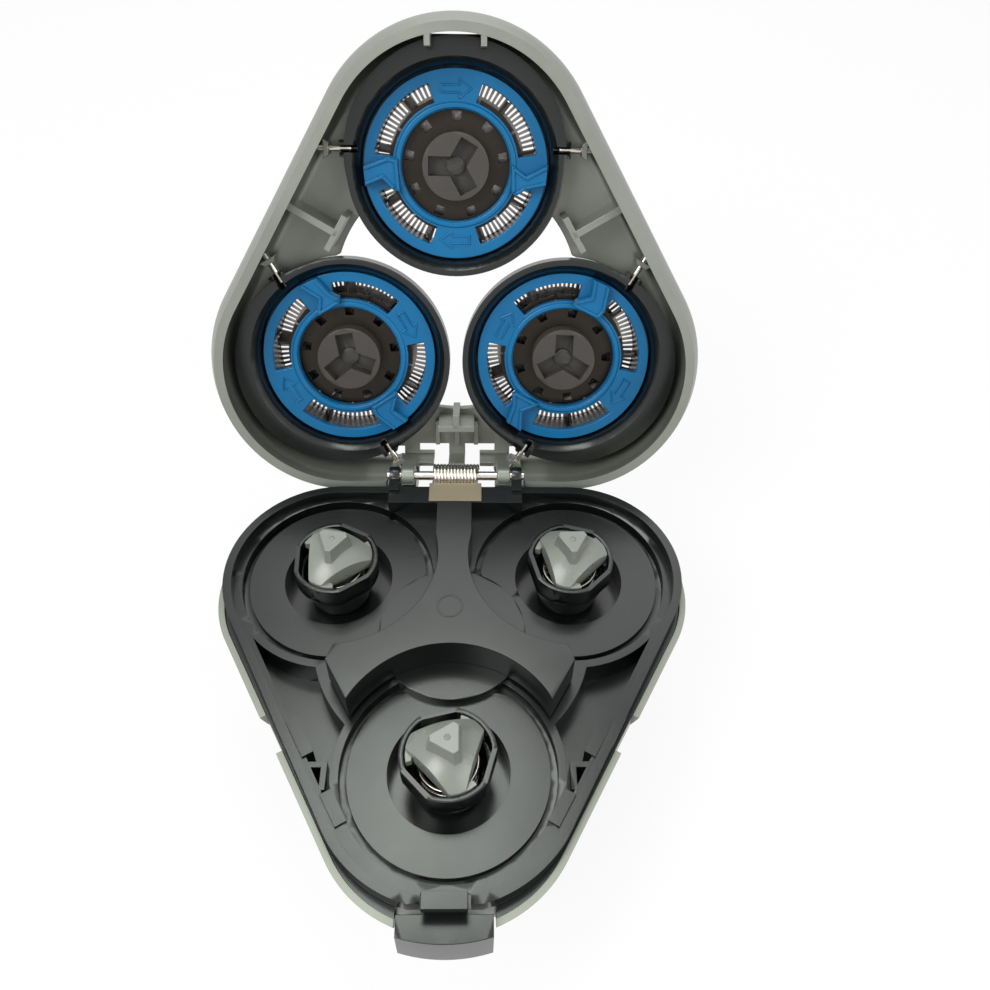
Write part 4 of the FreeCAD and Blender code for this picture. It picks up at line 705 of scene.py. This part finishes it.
def lid_wall():
    """The wall and the land as one closed surface over the outline and the profile."""
    outer = smooth_path([(15.95, -0.28), (16.9, 2.33), (17.2, 4.65), (16.6, 7.2), (15.9, 8.4), (15.2, 9.05),
                         (14.5, 9.3)])
    inner = smooth_path([(14.0, 8.1), (15.3, 7.6), (15.95, 4.65), (15.6, 2.3), (14.82, -0.28)])
    centres, normals, along = outline_frame()
    rows = []
    for c, n, s in zip(centres, normals, along):
        edge = opening_edge(s)
        profile = list(outer) + [(edge + 0.12, 9.3), (edge, 9.2), (edge, 8.2), (edge + 0.1, 8.1)]
        profile += inner
        rows.append([(*(c + n * t), level(w)) for t, w in profile])
    return closed_grid(np.array(rows))


def carved(thing, *tools):
    """Cuts forms out of an object for good, so that only the finished mesh stays."""
    cutter = as_mesh("cutter", joined(*tools))
    carve = thing.modifiers.new("carve", "BOOLEAN")
    carve.operation, carve.solver, carve.object = "DIFFERENCE", "EXACT", cutter
    carve.use_self = True
    done = bpy.data.meshes.new_from_object(thing.evaluated_get(bpy.context.evaluated_depsgraph_get()))
    thing.modifiers.remove(carve)
    thing.data = done
    bpy.data.objects.remove(cutter)


def round_bar(radius, x0, x1, y, z, steps=40):
    """Bar along X with softly rounded ends: circles of radius r(x) round its axis."""
    soft = 0.12
    stations = [(x0, radius - soft), (x0 + soft, radius), (x1 - soft, radius), (x1, radius - soft)]
    a = np.arange(steps) * 2 * np.pi / steps
    points = [(x, y + r * math.cos(b), z + r * math.sin(b)) for x, r in stations for b in a]
    faces = [(i * steps + j, i * steps + (j + 1) % steps, (i + 1) * steps + (j + 1) % steps,
              (i + 1) * steps + j) for i in range(3) for j in range(steps)]
    return points, faces + [tuple(range(steps)), tuple(range(3 * steps, 4 * steps))]


# Y of the lid's front edge at the hinge's height, from which the latch's slot is measured
FRONT = -(REACH + 16.0)
lid = as_mesh("lid_shell", lid_wall())
# the window at the hinge, round seats and slots on both sides of it, and the latch's slot and pocket
carved(lid,
       block((-5.15, 5.15), (20.8, 30.0), (level(-3), level(12))),
       round_bar(2.1, -9.05, -5.16, HINGE_Y, HINGE_Z), round_bar(2.1, 5.16, 9.05, HINGE_Y, HINGE_Z),
       block((7.2, 12.5), (21.2, 22.85), (level(6.8), level(12))),
       block((-12.5, -7.2), (21.2, 22.85), (level(6.8), level(12))),
       block((-3.4, 3.4), (FRONT + 0.32, FRONT + 1.07), (level(2.41), level(12))),
       block((-3.4, 3.4), (FRONT + 0.32, FRONT + 3.3), (level(0.4), level(2.4))))
print("lid wall:", len(lid.data.polygons), "faces")

# %% [markdown]
# On the real lid the ribs, pin blocks and knuckles are moulded with the wall, from slots cut in
# the same steel. They could be cut into the wall's surface, but they are plain upright forms that
# stand on it, so each is a slab or a bar that starts inside the wall. A stem and two plates cross
# the window at the hinge, and the knuckles beside it turn on the hinge's pin.

# %% Lid details
def wedge_form():
    """T-shaped ribs on the wedges, seen as a long rib with a cross bar at its inner end."""
    ribs = []
    for turn in (0.0, 120.0, -120.0):
        reach = (14.9, 16.7) if turn == 0.0 else (16.6, 23.7)
        t_bar = joined(block((-0.45, 0.45), reach, (level(2.7), level(8.3))),
                       block((-2.4, 2.4), (16.4, 17.2), (level(2.7), level(8.3))))
        ribs.append(moved(t_bar, Matrix.Rotation(math.radians(turn), 4, "Z")))
    return joined(*ribs)


def pin_block_form():
    """Blocks that hold the pivot pins, narrower towards the heads."""
    blocks = []
    corners = [(15.3, -2.7), (15.95, -3.1), (15.95, -0.8), (15.3, -1.3)]
    for _, angle, _ in HEADS:
        for side in (-1, 1):
            form = slab([(side * x, y) for x, y in corners], level(5.25), level(7.6))
            blocks.append(moved(form, at_head(angle, lid=False)))
    return joined(*blocks)


def hinge_form():
    """Two knuckles with their arms, the stem and plates in the window, and three ribs before it."""
    forms = []
    arm = [(HINGE_Y - 0.9, level(0.3)), (HINGE_Y + 0.4, level(0.3)), (HINGE_Y + 1.9, level(2.2)),
           (HINGE_Y + 1.9, level(4.2)), (HINGE_Y - 0.9, level(3.2))]
    for x0, x1 in ((-7.05, -5.35), (5.35, 7.05)):
        forms.append(round_bar(1.2, x0, x1, HINGE_Y, HINGE_Z))
        points, faces = slab(arm, x0, x1)
        forms.append(([(x, y, z) for y, z, x in points], faces))
    forms.append(block((-1.1, 1.1), (20.2, 22.9), (level(8.2), level(9.2))))
    forms.append(block((-1.1, 1.1), (22.3, 22.9), (level(4.6), level(9.2))))
    for side in (-1, 1):
        inner, outer = sorted((side * 3.1, side * 7.0))
        forms.append(block((inner, outer), (22.3, 22.9), (level(4.9), level(8.6))))
        forms.append(block((inner, outer), (21.9, 22.3), (level(8.0), level(8.6))))
        inner, outer = sorted((side * 5.0, side * 7.0))
        forms.append(block((inner, outer), (22.3, 22.9), (level(3.6), level(5.0))))
    for x in (-2.6, 0.0, 2.6):
        forms.append(block((x - 0.3, x + 0.3), (17.2, 20.6), (level(7.0), level(8.3))))
    return joined(*forms)


def latch_form():
    """Two short ribs beside the latch's slot."""
    return joined(*[block((x - 0.35, x + 0.35), (FRONT + 1.0, FRONT + 2.7), (level(-0.25), level(3.3)))
                    for x in (-3.0, 3.35)])


wall = form_of(lid)
bpy.data.objects.remove(lid)
new_piece("lid_shell", moved(wall, OPEN_LID), "lid", "lid_frame", bevel=0.12)
new_piece("lid_ribs", moved(joined(wedge_form(), pin_block_form(), hinge_form(), latch_form()), OPEN_LID),
          "lid", "lid_frame", bevel=0.1)
print("lid: wall of", len(wall[1]), "faces, with its ribs, blocks and knuckles")

# %% [markdown]
# The lower housing is a bowl under the tray: it leaves the flange almost straight, turns in
# smoothly, and ends in the round neck that plugs into the handle. Its wall runs through a row of
# outlines, each given by three corner circles, and the rows between them are smoothed. A wider
# skirt stands round its front half, with a finger notch in each side and a gap for the button, and
# a narrow black step lies inside the skirt, beside the tray.

# %% Lower housing
def corners_of(front_y, front_r, rear_x, rear_y, rear_r):
    """Three corner circles as one row of numbers: x, y and radius of each, anticlockwise."""
    return [0.0, front_y, front_r, rear_x, rear_y, rear_r, -rear_x, rear_y, rear_r]


def outline_points(row, arc_steps=48, side_steps=24):
    """Points round three circles: arcs between the tangent normals, joined by straight sides."""
    circles = np.array(row, float).reshape(3, 3)
    normals = []
    for k in range(3):
        (x1, y1, r1), (x2, y2, r2) = circles[k], circles[(k + 1) % 3]
        normals.append(math.atan2(y2 - y1, x2 - x1) - math.pi / 2
                       + math.asin((r1 - r2) / math.hypot(x2 - x1, y2 - y1)))
    points = []
    for k in range(3):
        start, end = normals[k - 1], normals[k]
        end += 2 * math.pi * math.ceil((start - end) / (2 * math.pi))
        x, y, r = circles[k]
        arc = [(x + r * math.cos(a), y + r * math.sin(a)) for a in np.linspace(start, end, arc_steps)]
        x, y, r = circles[(k + 1) % 3]
        after = np.array((x + r * math.cos(normals[k]), y + r * math.sin(normals[k])))
        last = np.array(arc[-1])
        points += arc + [tuple(last + (after - last) * f) for f in np.linspace(0, 1, side_steps + 2)[1:-1]]
    return points


def walled(rows):
    """Closed surface through outlines: each row is a level and the numbers of its corners."""
    return closed_grid(np.array([[(x, y, row[0]) for x, y in outline_points(row[1:])] for row in rows]))


def rim_row(z, grow):
    """Outline of the flange under the tray, larger all round by grow."""
    return [z] + corners_of(-REACH, 14.1 + grow, 14.4, 7.8, 13.1 + grow)


def skirt_row(z, grow):
    """Outline of the skirt, larger all round by grow."""
    return [z] + corners_of(-18.47, 13.8 + grow, 14.4, 5.84, 13.5 + grow)


def round_row(z, radius, spread=0.8):
    """Nearly a circle of this radius, with its three corners moved out by spread."""
    return [z] + corners_of(-spread, radius - spread, 0.87 * spread, 0.5 * spread, radius - spread)


bowl = smooth_path([round_row(5.7, 10.5), round_row(6.6, 11.0, 2.5), round_row(8.0, 14.0, 7.0),
                    rim_row(11.4, -2.95), rim_row(15.6, -0.45), rim_row(20.28, -0.05)])
bowl = [round_row(0.15, 10.5)] + [list(row) for row in bowl]
bowl += [rim_row(20.28, -0.88), rim_row(15.62, -0.88), rim_row(15.6, -4.1), rim_row(11.42, -4.1),
         round_row(11.4, 9.1), round_row(0.0, 9.1), round_row(0.0, 10.3)]
skirt = smooth_path([rim_row(15.7, -0.5), skirt_row(18.5, -0.6), skirt_row(20.5, 0.0)])
skirt = [list(row) for row in skirt] + [skirt_row(20.5, -0.7), skirt_row(19.6, -0.9), rim_row(15.75, -0.9)]
step = [skirt_row(20.05, -0.75), rim_row(20.05, -0.3), rim_row(19.6, -0.3), skirt_row(19.6, -0.85)]
GAP_X, GAP_Y = (-4.85, 4.85), (-45, -29.27)
housing = as_mesh("housing", walled(bowl))
carved(housing, block(GAP_X, GAP_Y, (16.2, 25)))
rim, ledge = as_mesh("skirt", walled(skirt)), as_mesh("ledge", walled(step))
notches = [moved(slab([(x0, -24.5), (x1, -24.5), (x1, -22.3), (x0, -22.3)], 17.5, 22),
                 Matrix.Rotation(math.radians(around), 4, "Z"))
           for x0, x1, around in ((-3.35, 1.27, 60), (-1.27, 3.35, -60))]
for thing in (rim, ledge):
    carved(thing, block(GAP_X, GAP_Y, (14, 25)), block((-45, 45), (9.4, 45), (10, 30)), *notches)
form = joined(form_of(housing), form_of(rim))
new_piece("lower_housing", form, "base", "base_shell", bevel=0.1)
tray_step = as_mesh("tray_step", form_of(ledge), 0.05)
tray_step.data.materials.append(FINISH["black_plastic"])
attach(tray_step, "base")
for thing in (housing, rim, ledge):
    bpy.data.objects.remove(thing)
print("lower housing:", len(form[1]), "faces")

# %% [markdown]
# The moulder's mark on the cover stays a bare ring, raised a few hundredths of a millimetre, as a
# mould insert would leave it.

# %% Mark on the cover
MARK_INNER, MARK_OUTER, MARK_PLACE = 1.3, 1.5, (-0.2, 0.8, 0)
cover_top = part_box("gear_cover")[1][2] / MM
low, high = cover_top - 0.05, cover_top + 0.06
ring = turned([(MARK_INNER, low), (MARK_INNER, high), (MARK_OUTER, high), (MARK_OUTER, low)], 72)
mark = as_mesh("cover_mark", moved(ring, Matrix.Translation(MARK_PLACE)), 0.03)
mark.data.materials.append(FINISH["black_plastic"])
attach(mark, "base")
print("mark at level", round(cover_top, 2))
